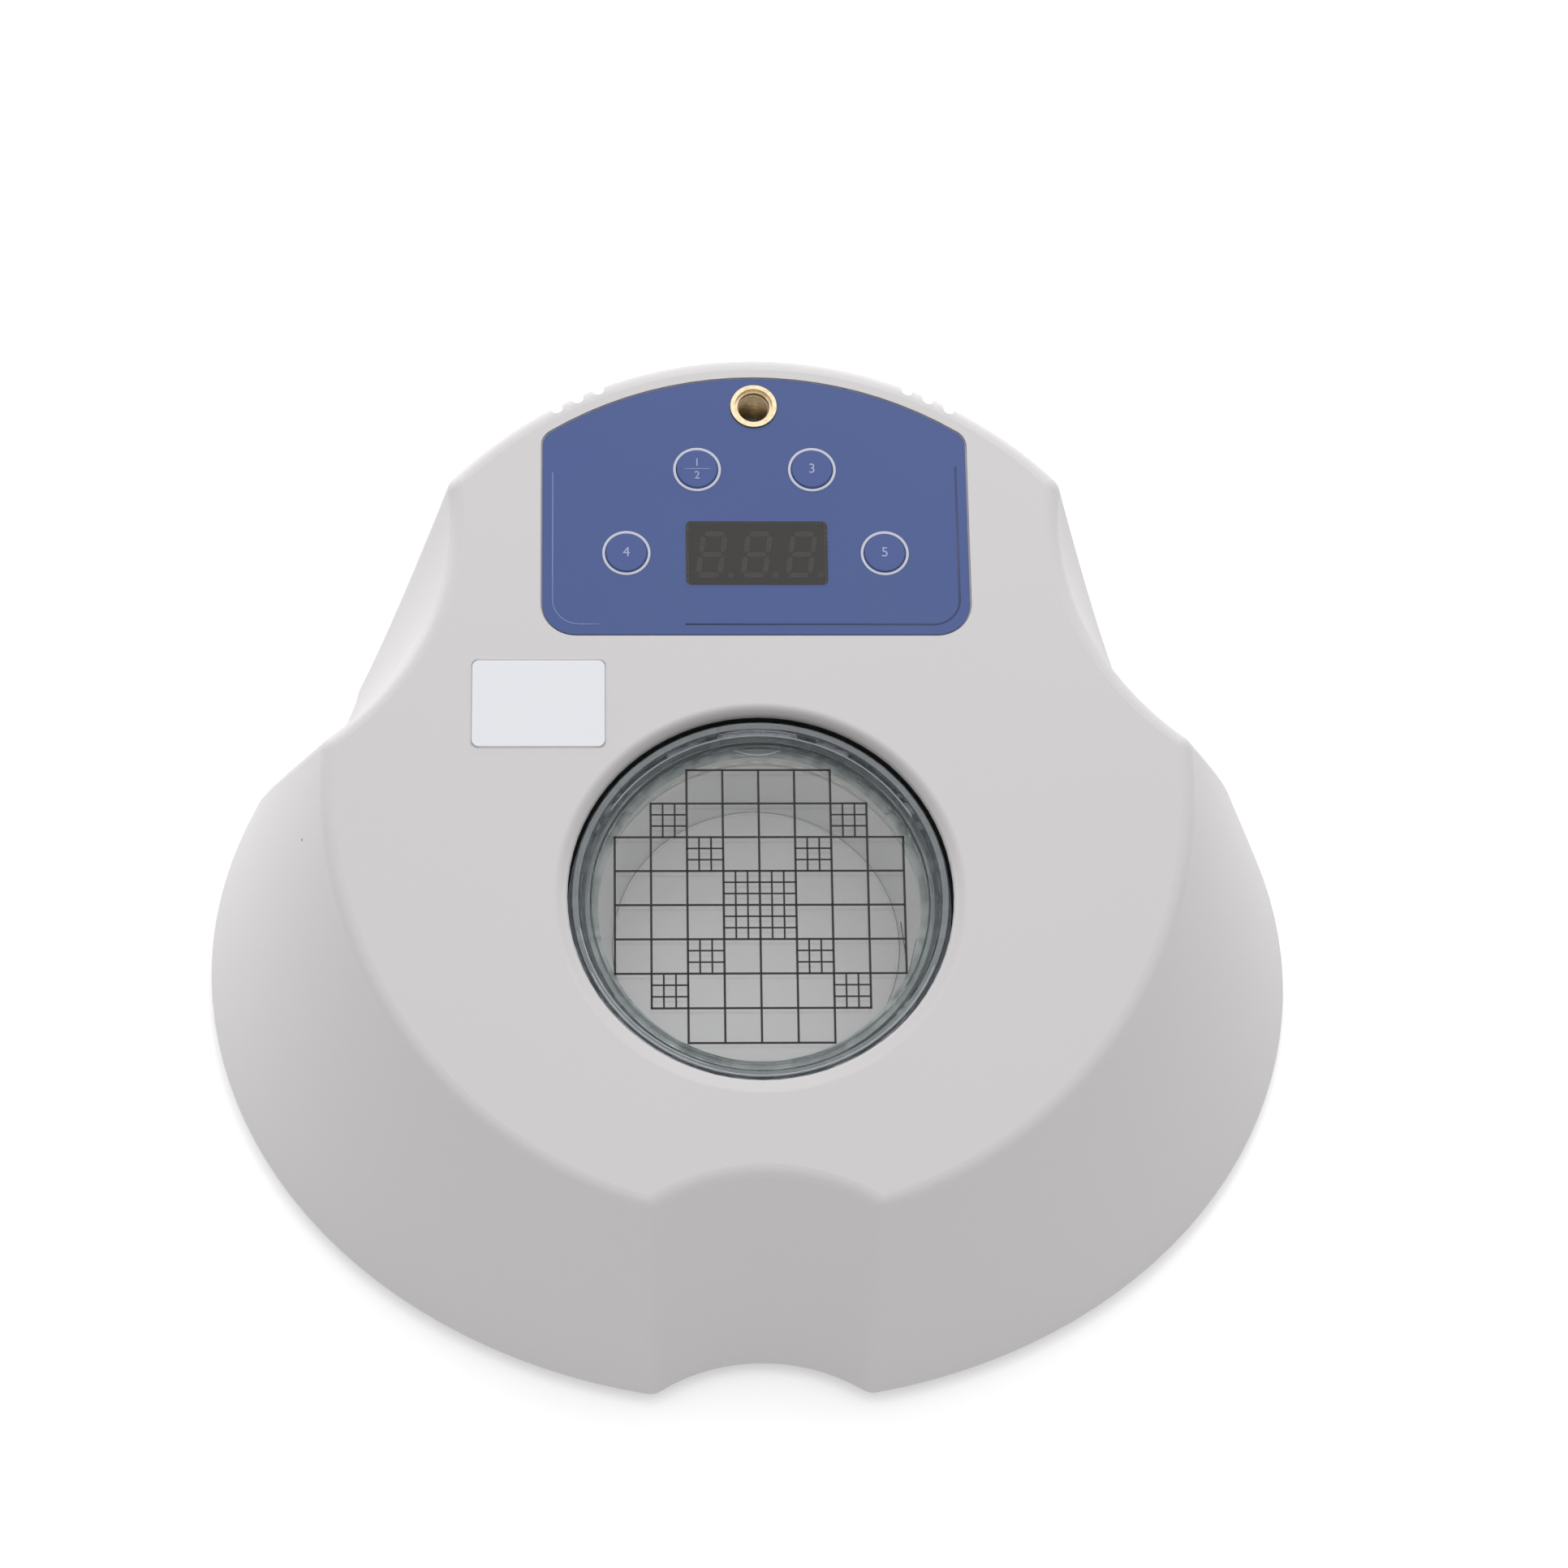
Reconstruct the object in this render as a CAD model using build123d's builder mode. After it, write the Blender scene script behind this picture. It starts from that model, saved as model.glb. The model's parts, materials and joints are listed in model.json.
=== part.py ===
from build123d import *
import math
import os

os.makedirs("parts", exist_ok=True)

# A bench colony counter.  A round case with a sloping deck carries a lit, pressure sensing stage
# for a culture dish, a control panel with a three digit display, and a socket for a lens arm.
# Lengths are in millimetres.  The origin is on the axis of the round base, at the level the feet
# stand on.  +X is to the user's right, +Y to the rear and +Z up.

# ------------------------------------------------------------------ driving dimensions
# Case: a truncated cone, cut by a sloping deck, scooped at both rear flanks, notched in front.
base_radius = 158.0
flank_slope = 0.37  # radius lost for each millimetre of height
deck_tilt = 19.24  # degrees, falling towards the user
stage_y = -50.1  # where the stage's axis meets the deck
stage_height = 87.0  # the same point above the case's lower edge
wall = 3.0
edge_round = 4.5
crease_round = edge_round + 0.5  # rounder than the edge of the deck, which runs over each crease
scoop_x, scoop_y, scoop_radius = 182.2, 112.0, 64.3
scoop_lean, scoop_flare = -0.511, 0.262  # drift and widening for each millimetre of height
notch_y, notch_radius, notch_flare = -192.5, 47.4, 0.338
foot_height = 4.0  # gap between the case and the bench
clear = 0.2  # between pieces that only lie beside each other
running = 0.05  # between a shank and its hole
past = 1.0  # how far a cut runs past the face that it opens
near = 0.1  # how close an edge lies to a place that it is picked by

# Stage: a stack about the stage axis, each level counted along the deck's normal.
hole_radius = 53.0
hole_lip = 1.2
hole_round = 0.8
seal_wall = 0.9
seal_depth = 10.0
seal_flange, seal_flange_thick = 5.0, 1.2
ring_gap = 0.9  # between the ring and the hole
ring_flange = 2.5
ring_top = -1.9
ring_step = -4.5
ring_bore = 46.4
ring_lip = 1.6  # over the glass's rim
glass_top = -8.0
glass_thick = 3.0
glass_ledge = 3.4
stage_thick = 3.0
stage_lap = 2.0  # of the stage's rim past the hole
stage_travel = 0.8
lug_size = 6.5
lug_angles = (90, 210, 330)
finger_radius, finger_reach, finger_depth = 15.0, 3.2, 2.0
glass_chamfer = 0.3
ring_bevel, ring_step_bevel = 0.4, 0.5
board_thick = 1.6
led_count = 48
led_setback = 2.4
led_size, led_height = 2.6, 1.9
led_board_margin = 1.0  # beyond the stage's rim
well_level = -19.0
well_margin = 0.6  # of the well's mouth past the stage's bore
well_flange_thick, well_flange_margin = 2.5, 5.5
well_floor_radius = 40.4
well_floor = -43.0
well_wall, well_shoulder = 2.0, 1.0
background_thick = 1.5
well_screw_offset = 4.5  # outward of the lugs
well_screw_angles = (30, 150, 240, 300)
spring_radius, spring_wire, spring_turns = 3.6, 0.4, 3
sensor_size, sensor_plunger, sensor_stroke = 8.0, 1.8, 1.5
guide_tail = 4.0  # screw below the well's flange
nut_radius, nut_thick = 3.1, 2.4

# Control panel, in the deck's own plane from the stage axis.
panel_half_width = 60.2
panel_low = 77.9
panel_arc_y, panel_arc_radius = 51.0, 106.7
panel_low_round, panel_high_round = 9.5, 5.0
panel_recess = 0.9
panel_gap = 0.5
overlay_thick = 0.7
window_x, window_y = 0.3, 102.9
window_width, window_height, window_round = 40.3, 20.0, 1.8
window_thick, window_chamfer = 0.8, 0.15
display_width, display_height, display_depth = 38.0, 18.4, 8.0
digit_pitch, digit_height, digit_width = 12.7, 14.2, 7.6
digit_slant = 8.0
segment_width, segment_raise = 1.5, 0.12
key_places = {
    "key_upper_left": (-16.35, 129.0),
    "key_upper_right": (16.35, 129.0),
    "key_lower_left": (-36.5, 102.9),
    "key_lower_right": (36.5, 102.9),
}
key_radius = 5.85
key_bezel_radius, key_bezel_wall = 6.8, 0.75
key_proud, key_chamfer = 0.35, 0.3
key_travel = 0.4
key_flange, key_flange_reach, key_play = 1.2, 1.0, 0.1
key_stem, key_stem_radius = 2.4, 1.7
key_bezel_proud = 0.05
switch_side, switch_body = 6.2, 3.2
post_grip = 6.5  # screw length in a post
pin_pitch, pin_size, pin_count, pin_inset = 2.54, 0.5, 12, 1.5
segment_gap = 0.3
point_offset, point_radius = 5.3, 0.75
control_board_level = -11.6
control_board_low, control_board_high = 84.0, 135.5
control_board_half_width = 56.0
control_post_places = ((-50, 88.5), (50, 88.5), (-50, 131), (50, 131))
socket_y = 148.9
socket_radius = 6.6
socket_proud = 0.3
socket_length = 17.0
socket_thread_radius = 4.6
socket_mouth_radius, socket_mouth_depth = 5.4, 1.0
socket_boss_wall = 3.6
socket_blind = 2.5
label_x, label_y = -61.1, 56.9
label_width, label_height, label_round, label_thick = 37.4, 26.4, 3.0, 0.25

# Flutes: three round bottomed grooves each side, down the rear flank from the deck.
flute_first, flute_pitch, flute_count = 44.4, 5.9, 3
flute_width, flute_depth = 3.2, 3.2
flute_low, flute_wall = 78.0, 1.6

# Base: a plate inside the lower edge, on four rubber feet.
plate_recess = 0.8
plate_thick = 2.5
foot_radius, foot_stem_radius, foot_barb_radius = 9.0, 3.0, 3.8
foot_bevel, foot_barb_length, foot_barb_taper = 1.2, 2.4, 0.4
foot_places = ((-85, -95), (85, -95), (-92, 72), (92, 72))
boss_radius, screw_radius, screw_head_radius, screw_head = 4.0, 1.5, 2.9, 1.6
screw_head_taper = 12.0  # degrees
base_screw_places = ((-118, -60), (118, -60), (-52, -116), (52, -116), (-76, 114), (76, 114))
base_screw_length = 14.0
slot_length, slot_width, slot_pitch, slot_count = 44.0, 3.0, 7.0, 6
slot_gap = 17.6  # between the two columns of slots
slots_y = -25.0

# Rear panel, in a pocket that is open to the rear and below.
pocket_half_width, pocket_y, pocket_height = 46.0, 122.0, 48.0
rear_panel_half_width, rear_panel_low, rear_panel_high = 45.0, 9.0, 49.0
rear_panel_thick, rear_panel_round = 1.6, 2.0
rear_window_half_width, rear_window_low, rear_window_high = 42.5, 16.0, 42.5
rear_screw_x = 41.5
rear_screw_edge = 4.0
rear_row = 30.0  # height of the row of connectors
switch_x, serial_x, knob_x, inlet_x = -33.0, -7.5, 17.5, 34.5
switch_width, switch_height, switch_depth = 13.0, 19.6, 14.0
switch_bezel, switch_flange, switch_round = 1.3, 1.5, 1.5
switch_side_wall = 1.0
rocker_depth, rocker_radius, rocker_pin_radius = 2.5, 7.5, 1.0
rocker_back, rocker_crest, rocker_half = 5.0, 3.8, 8.0
rocker_back_half, rocker_tip = 2.2, 1.4
terminal_width, terminal_thick, terminal_length, terminal_pitch = 4.8, 0.8, 8.0, 6.5
rocker_swing = 14.0  # degrees from off to on
serial_width, serial_height, serial_depth = 30.8, 12.5, 12.0
serial_shell_width, serial_shell_height, serial_shell_reach = 16.9, 8.4, 5.8
serial_shell_lean = 80.0  # degrees
serial_shell_wall, serial_shell_round, serial_shell_play = 0.6, 1.6, 0.5
serial_screw_pitch = 24.99
serial_pin_pitch, serial_pin_row, serial_pin_radius = 2.77, 1.42, 0.5
serial_pin_sunk = 1.0
serial_upper_pins, serial_lower_pins = 5, 4
serial_shell_turn = 180  # degrees, which puts the long side up
knob_radius, knob_length, knob_shaft_radius = 7.5, 12.0, 3.0
knob_round, knob_crown = 0.8, 2.5
knob_flutes, knob_flute_radius, knob_flute_offset = 12, 0.8, 0.3
pointer_width, pointer_depth = 1.0, 0.5
pot_radius, pot_depth, pot_bush_radius = 8.0, 8.5, 3.5
pot_nut, pot_nut_reach = 2.0, 1.4
inlet_radius, inlet_bore_radius, inlet_pin_radius = 5.5, 3.15, 1.0
inlet_depth, inlet_flange, inlet_bore_length = 12.0, 1.5, 10.0
inlet_flange_reach, inlet_nut_reach = 1.5, 2.0

# Main board and the flat cable between the boards.
main_board_half_width, main_board_front, main_board_back = 55.0, 37.0, 104.0
pillar_height, pillar_radius = 6.0, 3.2
pillar_places = ((-49, 43), (49, 43), (-49, 98), (49, 98))
buzzer_place, buzzer_radius, buzzer_height = (-36, 84), 6.0, 7.5
buzzer_hole, buzzer_hole_depth = 1.2, 1.5
component_blocks = {
    (8, 76): (12, 12, 1.8),
    (32, 60): (10, 4.5, 15),
    (30, 84): (16, 8, 9),
    (-20, 66): (9, 4, 1.8),
    (-38, 60): (7, 12, 8),
}
capacitor_places = [(42, 72), (16, 92)]
capacitor_radius, capacitor_height = 4.0, 11.0
header_width, header_depth, header_height = 26.0, 8.6, 8.8
cable_width, cable_thick = 24.0, 1.2
cable_straight, cable_bend, cable_bow = 12.0, 4.0, 6.0
lower_header_inset = 4.0

# ------------------------------------------------------------------ derived places
normal = Vector(0, -math.sin(math.radians(deck_tilt)), math.cos(math.radians(deck_tilt)))
deck = Plane(origin=(0, stage_y, foot_height + stage_height), x_dir=(1, 0, 0), z_dir=normal)
form_high = foot_height + stage_height + base_radius  # above every part of the case
flank_stretch = math.hypot(1, flank_slope)  # horizontal growth for a wall measured square to it
plate_low = foot_height + plate_recess
plate_high = plate_low + plate_thick
ring_radius = hole_radius - ring_gap
ring_step_radius = ring_radius - ring_flange
glass_radius = ring_bore + ring_lip
stage_bore = glass_radius - glass_ledge
stage_rim = hole_radius + stage_lap
lug_radius = hole_radius + seal_wall + seal_flange + clear + screw_head_radius
well_mouth = stage_bore + well_margin
well_screw_radius = lug_radius + well_screw_offset
well_flange = well_screw_radius + well_flange_margin
led_radius = well_mouth + led_setback
glass_low = glass_top - glass_thick
stage_low = glass_low - stage_thick
led_board_top = well_level + board_thick
panel_floor = -panel_recess
digit_xs = [window_x + digit_pitch * k for k in (-1, 0, 1)]
display_face = panel_floor - clear - segment_raise
key_flange_top = -wall - key_play
key_stem_end = key_flange_top - key_flange - key_stem
rear_screw_places = [
    (side * rear_screw_x, height)
    for side in (-1, 1)
    for height in (rear_panel_low + rear_screw_edge, rear_panel_high - rear_screw_edge)
]


def save(builder, name):
    """Label a finished piece and write its STEP file."""
    builder.part.label = name
    export_step(builder.part, f"parts/{name}.step")


def around_stage(radius, angles):
    """Places at a radius from the stage axis, in the deck's own plane."""
    return [
        (radius * math.cos(math.radians(a)), radius * math.sin(math.radians(a)))
        for a in angles
    ]


def deck_height(y):
    """Height of the deck over the bench at a distance to the rear."""
    return deck.origin.Z + (y - stage_y) * math.tan(math.radians(deck_tilt))


def flank_radius(z):
    """Radius of the flank at a height over the bench."""
    return base_radius - flank_slope * (z - foot_height)


guide_places = around_stage(lug_radius, lug_angles)
well_screw_places = around_stage(well_screw_radius, well_screw_angles)


# ------------------------------------------------------------------ the case's form
def flared_cutter(x, y, lean, radius, flare, low):
    """A round cutter that drifts to the rear by lean and widens by flare as it rises."""
    with BuildPart() as cutter:
        for z in (low, form_high):
            height = z - foot_height
            with BuildSketch(Plane.XY.offset(z)):
                with Locations((x, y + lean * height)):
                    Circle(radius + flare * height)
        loft(ruled=True)
    return cutter.part


def case_form(inset, low):
    """The case as one solid, drawn in by inset on every face, from a height up to the deck."""
    grow = inset * flank_stretch
    scoop = flared_cutter(scoop_x, scoop_y, scoop_lean, scoop_radius + grow, scoop_flare, low)
    notch = flared_cutter(0, notch_y, 0, notch_radius + grow, notch_flare, low)
    with BuildPart() as form:
        with Locations(Location((0, 0, low), (0, 0, -90))):
            Cone(
                flank_radius(low) - grow,
                flank_radius(form_high) - grow,
                form_high - low,
                align=(Align.CENTER, Align.CENTER, Align.MIN),
            )
        split(bisect_by=deck.offset(-inset), keep=Keep.BOTTOM)
        add(scoop, mode=Mode.SUBTRACT)
        mirror(scoop, about=Plane.YZ, mode=Mode.SUBTRACT)
        add(notch, mode=Mode.SUBTRACT)
    return form.part


def panel_outline(grow):
    """The control panel's outline: straight sides under an arc that follows the rear edge."""
    half = panel_half_width + grow
    low = panel_low - grow
    arc = panel_arc_radius + grow
    shoulder = panel_arc_y + math.sqrt(arc**2 - half**2)
    with BuildSketch() as outline:
        with BuildLine():
            Polyline((-half, shoulder), (-half, low), (half, low), (half, shoulder))
            ThreePointArc((half, shoulder), (0, panel_arc_y + arc), (-half, shoulder))
        make_face()
        fillet(outline.vertices().group_by(Axis.Y)[0], panel_low_round + grow)
        fillet(outline.vertices().group_by(Axis.Y)[-1], panel_high_round + grow)
    return outline.sketch


def flute_plane(x, low):
    """A plane across a flute at its lower end, with its normal up the flank and +Y outward."""
    start = Vector(x, math.sqrt(flank_radius(low) ** 2 - x**2), low)
    top = deck_height(start.Y)
    end = Vector(x, math.sqrt(flank_radius(top) ** 2 - x**2), top)
    return Plane(origin=start, x_dir=(1, 0, 0), z_dir=end - start)


flute_xs = [side * (flute_first + flute_pitch * k) for side in (-1, 1) for k in range(flute_count)]

with BuildPart() as columns:
    with BuildSketch(Plane.XY.offset(plate_high)):
        with Locations(*base_screw_places):
            Circle(boss_radius)
    extrude(amount=form_high)
    add(case_form(wall / 2, plate_high - past), mode=Mode.INTERSECT)

with BuildPart() as pocket_walls:
    with BuildSketch(Plane.XY.offset(foot_height)):
        with Locations((0, pocket_y - wall)):
            Rectangle(
                2 * (pocket_half_width + wall), base_radius, align=(Align.CENTER, Align.MIN)
            )
    extrude(amount=pocket_height + wall)
    add(case_form(wall / 2, foot_height), mode=Mode.INTERSECT)

with BuildPart() as flute_backs:
    for x in flute_xs:
        with BuildSketch(flute_plane(x, flute_low - flute_wall)):
            with Locations((0, flute_width / 2 - flute_depth)):
                Circle(flute_width / 2 + flute_wall)
        extrude(amount=form_high)
    add(case_form(wall / 2, flute_low - past), mode=Mode.INTERSECT)

with BuildPart() as upper_case:
    add(case_form(0, foot_height))
    rising = [
        e
        for e in upper_case.edges()
        if abs(deck.to_local_coords(e @ 0.5).Z) > past and (e @ 0.5).Z > foot_height + past
    ]
    fillet(rising, crease_round)
    deck_edges = [e for e in upper_case.edges() if abs(deck.to_local_coords(e @ 0.5).Z) < near]
    fillet(deck_edges, edge_round)
    add(case_form(wall, foot_height - past), mode=Mode.SUBTRACT)
    add(columns.part)
    add(pocket_walls.part)
    add(flute_backs.part)

    # pocket for the rear panel, and the window behind the panel
    with BuildSketch(Plane.XY.offset(foot_height - past)):
        with Locations((0, pocket_y)):
            Rectangle(2 * pocket_half_width, base_radius, align=(Align.CENTER, Align.MIN))
    extrude(amount=pocket_height + past, mode=Mode.SUBTRACT)
    with BuildSketch(Plane.XZ.offset(-pocket_y - past)):
        with Locations((0, (rear_window_low + rear_window_high) / 2)):
            Rectangle(2 * rear_window_half_width, rear_window_high - rear_window_low)
    extrude(amount=wall + 2 * past, mode=Mode.SUBTRACT)

    with BuildSketch(Plane.XZ.offset(-pocket_y)):
        with Locations(*rear_screw_places):
            Circle(screw_radius + running)
    extrude(amount=wall, mode=Mode.SUBTRACT)

    # stage hole, with a lip over the seal
    with BuildSketch(deck.offset(past)):
        Circle(hole_radius)
    extrude(amount=-wall - 2 * past, mode=Mode.SUBTRACT)
    with BuildSketch(deck.offset(-hole_lip)):
        Circle(hole_radius + seal_wall + running)
    extrude(amount=-wall, mode=Mode.SUBTRACT)

    # panel recess, display opening, key holes and the blind boss of the arm socket
    with BuildSketch(deck.offset(panel_floor)):
        add(panel_outline(panel_gap))
    extrude(amount=panel_recess + past, mode=Mode.SUBTRACT)
    with BuildSketch(deck.offset(-wall)):
        with Locations((0, socket_y)):
            Circle(socket_radius + socket_boss_wall)
        with Locations(*control_post_places):
            Circle(boss_radius)
    extrude(amount=control_board_level + wall)
    with BuildSketch(deck.offset(control_board_level)):
        with Locations((0, socket_y)):
            Circle(socket_radius + socket_boss_wall)
    extrude(amount=-(socket_length + socket_blind - socket_proud + control_board_level))
    with BuildSketch(deck.offset(past)):
        with Locations((0, socket_y)):
            Circle(socket_radius + running)
    extrude(amount=-(socket_length - socket_proud + past), mode=Mode.SUBTRACT)
    with BuildSketch(deck.offset(past)):
        with Locations(*key_places.values()):
            Circle(key_radius + clear)
        with Locations((window_x, window_y)):
            Rectangle(display_width + 2 * clear, display_height + 2 * clear)
    extrude(amount=-wall - 2 * past, mode=Mode.SUBTRACT)

    # bosses for the light well, with pilot holes in them and in every other boss
    with BuildSketch(deck.offset(-wall)):
        with Locations(*well_screw_places):
            Circle(boss_radius)
    extrude(amount=well_level + wall)
    with BuildSketch(deck.offset(well_level)):
        with Locations(*well_screw_places):
            Circle(screw_radius + running)
    extrude(amount=-well_level - wall - past, mode=Mode.SUBTRACT)
    with BuildSketch(deck.offset(control_board_level)):
        with Locations(*control_post_places):
            Circle(screw_radius + running)
    extrude(amount=-control_board_level - wall - past, mode=Mode.SUBTRACT)
    with BuildSketch(Plane.XY.offset(plate_high)):
        with Locations(*base_screw_places):
            Circle(screw_radius + running)
    extrude(amount=base_screw_length, mode=Mode.SUBTRACT)

    # flutes, each a round bottom that is open outward
    for x in flute_xs:
        with BuildSketch(flute_plane(x, flute_low)):
            with Locations((0, flute_width / 2 - flute_depth)):
                Circle(flute_width / 2)
                Rectangle(flute_width, 2 * flute_width, align=(Align.CENTER, Align.MIN))
        extrude(amount=form_high, mode=Mode.SUBTRACT)
    hole_rim = [
        e
        for e in upper_case.edges().filter_by(GeomType.CIRCLE)
        if abs(e.radius - hole_radius) < near and abs(deck.to_local_coords(e @ 0.5).Z) < near
    ]
    fillet(hole_rim, hole_round)
save(upper_case, "upper_case")

# ------------------------------------------------------------------ base
with BuildPart() as base_plate:
    add(case_form(wall + clear, plate_low - past))
    split(bisect_by=Plane.XY.offset(plate_low), keep=Keep.TOP)
    split(bisect_by=Plane.XY.offset(plate_high), keep=Keep.BOTTOM)
    with BuildSketch(Plane.XY.offset(plate_low)):
        with Locations((0, pocket_y - wall - clear)):
            Rectangle(
                2 * (pocket_half_width + wall + clear),
                base_radius,
                align=(Align.CENTER, Align.MIN),
            )
    extrude(amount=plate_thick, mode=Mode.SUBTRACT)
    with BuildSketch(Plane.XY.offset(plate_high)):
        with Locations(*pillar_places):
            Circle(pillar_radius)
    extrude(amount=pillar_height)
    with BuildSketch(Plane.XY.offset(plate_low)):
        with Locations(*base_screw_places, *pillar_places):
            Circle(screw_radius + running)
        with Locations(*foot_places):
            Circle(foot_stem_radius + running)
        with Locations((0, slots_y)):
            with GridLocations(slot_length + slot_gap, slot_pitch, 2, slot_count):
                SlotOverall(slot_length, slot_width)
    extrude(amount=plate_thick + pillar_height, mode=Mode.SUBTRACT)
save(base_plate, "base_plate")

with BuildPart() as feet:
    for x, y in foot_places:
        with BuildSketch(Plane(origin=(x, y, 0), x_dir=(1, 0, 0), z_dir=(0, -1, 0))):
            with BuildLine():
                Polyline(
                    (0, 0),
                    (foot_radius - foot_bevel, 0),
                    (foot_radius, foot_bevel),
                    (foot_radius, plate_low),
                    (foot_stem_radius, plate_low),
                    (foot_stem_radius, plate_high),
                    (foot_barb_radius, plate_high),
                    (foot_stem_radius - foot_barb_taper, plate_high + foot_barb_length),
                    (0, plate_high + foot_barb_length),
                    close=True,
                )
            make_face()
        revolve(axis=Axis((x, y, 0), (0, 0, 1)))
save(feet, "feet")


def screws(planes, length):
    """Pan head screws, each driven along its plane's normal with its head behind the plane."""
    with BuildPart() as group:
        for plane in planes:
            with BuildSketch(plane):
                Circle(screw_head_radius)
            extrude(amount=-screw_head, taper=screw_head_taper)
            with BuildSketch(plane):
                Circle(screw_radius)
            extrude(amount=length)
    return group


def flipped(planes):
    """The same planes, facing the other way."""
    return [Plane(plane.origin, plane.x_dir, plane.z_dir * -1) for plane in planes]


def level_planes(places, z):
    """Level planes at a height over the bench, one at each place, facing up."""
    return [Plane(origin=(x, y, z)) for x, y in places]


def deck_planes(places, level):
    """Planes that face along the deck's normal at a level, one at each place on the deck."""
    return [
        Plane(deck.offset(level).from_local_coords((x, y, 0)), deck.x_dir, normal)
        for x, y in places
    ]


save(screws(level_planes(base_screw_places, plate_low), base_screw_length), "base_screws")

# ------------------------------------------------------------------ control panel
with BuildPart() as control_overlay:
    with BuildSketch(deck.offset(panel_floor)):
        add(panel_outline(0))
        with Locations(*key_places.values()):
            Circle(key_bezel_radius + running, mode=Mode.SUBTRACT)
        with Locations((0, socket_y)):
            Circle(socket_radius + clear, mode=Mode.SUBTRACT)
        with Locations((window_x, window_y)):
            RectangleRounded(
                window_width + 2 * running,
                window_height + 2 * running,
                window_round + running,
                mode=Mode.SUBTRACT,
            )
    extrude(amount=overlay_thick)
save(control_overlay, "control_overlay")

with BuildPart() as display_window:
    with BuildSketch(deck.offset(panel_floor)):
        with Locations((window_x, window_y)):
            RectangleRounded(window_width, window_height, window_round)
    extrude(amount=window_thick)
    chamfer(display_window.faces().sort_by(Axis(deck.origin, normal))[-1].edges(), window_chamfer)
save(display_window, "display_window")

with BuildPart() as display_module:
    with BuildSketch(deck.offset(display_face)):
        with Locations((window_x, window_y)):
            Rectangle(display_width, display_height)
    extrude(amount=-display_depth)
    with BuildSketch(deck.offset(display_face - display_depth)):
        with Locations((window_x, window_y)):
            with GridLocations(pin_pitch, display_height - 2 * pin_inset, pin_count, 2):
                Rectangle(pin_size, pin_size)
    extrude(amount=control_board_level - display_face + display_depth)
save(display_module, "display_module")


def segment_bars():
    """Centre and turn of the seven bars of a digit, upright, from the digit's centre."""
    across = (digit_width - segment_width) / 2
    up = (digit_height - segment_width) / 2
    level = [(0, row * up, 0) for row in (-1, 0, 1)]
    upright = [(side * across, row * up / 2, 90) for side in (-1, 1) for row in (-1, 1)]
    return level + upright


def bar_outline(length, turn):
    """A six sided bar with pointed ends, leaning with the digit."""
    half, tip = length / 2, segment_width / 2
    with BuildSketch() as bar:
        with BuildLine():
            Polyline(
                (-half, 0),
                (tip - half, tip),
                (half - tip, tip),
                (half, 0),
                (half - tip, -tip),
                (tip - half, -tip),
                close=True,
            )
        make_face()
    return bar.sketch.rotate(Axis.Z, turn - (digit_slant if turn else 0))


with BuildPart() as display_segments:
    lean = math.tan(math.radians(digit_slant))
    with BuildSketch(deck.offset(display_face)):
        for digit_x in digit_xs:
            for x, y, turn in segment_bars():
                span = (digit_height if turn else 2 * digit_width) / 2
                with Locations((digit_x + x + lean * y, window_y + y)):
                    add(bar_outline(span - segment_width - segment_gap, turn))
            with Locations((digit_x + point_offset, window_y + point_radius - digit_height / 2)):
                Circle(point_radius)
    extrude(amount=segment_raise)
save(display_segments, "display_segments")

with BuildPart() as key_bezels:
    with BuildSketch(deck.offset(panel_floor)):
        with Locations(*key_places.values()):
            Circle(key_bezel_radius)
            Circle(key_bezel_radius - key_bezel_wall, mode=Mode.SUBTRACT)
    extrude(amount=overlay_thick + key_bezel_proud)
save(key_bezels, "key_bezels")

for name, place in key_places.items():
    with BuildPart() as key:
        with BuildSketch(deck.offset(key_flange_top)):
            with Locations(place):
                Circle(key_radius)
        extrude(amount=key_proud - key_flange_top)
        chamfer(key.edges().sort_by(Axis(deck.origin, normal))[-1], key_chamfer)
        with BuildSketch(deck.offset(key_flange_top)):
            with Locations(place):
                Circle(key_radius + key_flange_reach)
        extrude(amount=-key_flange)
        with BuildSketch(deck.offset(key_flange_top - key_flange)):
            with Locations(place):
                Circle(key_stem_radius)
        extrude(amount=-key_stem)
    save(key, name)

with BuildPart() as control_board:
    with BuildSketch(deck.offset(control_board_level)):
        with Locations((0, (control_board_low + control_board_high) / 2)):
            Rectangle(2 * control_board_half_width, control_board_high - control_board_low)
        with Locations(*control_post_places):
            Circle(screw_radius + running, mode=Mode.SUBTRACT)
    extrude(amount=-board_thick)
save(control_board, "control_board")
post_planes = deck_planes(control_post_places, control_board_level - board_thick)
save(screws(post_planes, board_thick + post_grip), "control_board_screws")

with BuildPart() as key_switches:
    with BuildSketch(deck.offset(control_board_level)):
        with Locations(*key_places.values()):
            Rectangle(switch_side, switch_side)
    extrude(amount=switch_body)
    with BuildSketch(deck.offset(control_board_level)):
        with Locations(*key_places.values()):
            Circle(key_stem_radius)
    extrude(amount=key_stem_end - key_travel - running - control_board_level)
save(key_switches, "key_switches")

with BuildPart() as arm_socket:
    with BuildSketch(deck.offset(socket_proud - socket_length)):
        with Locations((0, socket_y)):
            Circle(socket_radius)
            Circle(socket_thread_radius, mode=Mode.SUBTRACT)
    extrude(amount=socket_length)
    with BuildSketch(deck.offset(socket_proud)):
        with Locations((0, socket_y)):
            Circle(socket_mouth_radius)
    extrude(amount=-socket_mouth_depth, mode=Mode.SUBTRACT)
save(arm_socket, "arm_socket")

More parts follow.
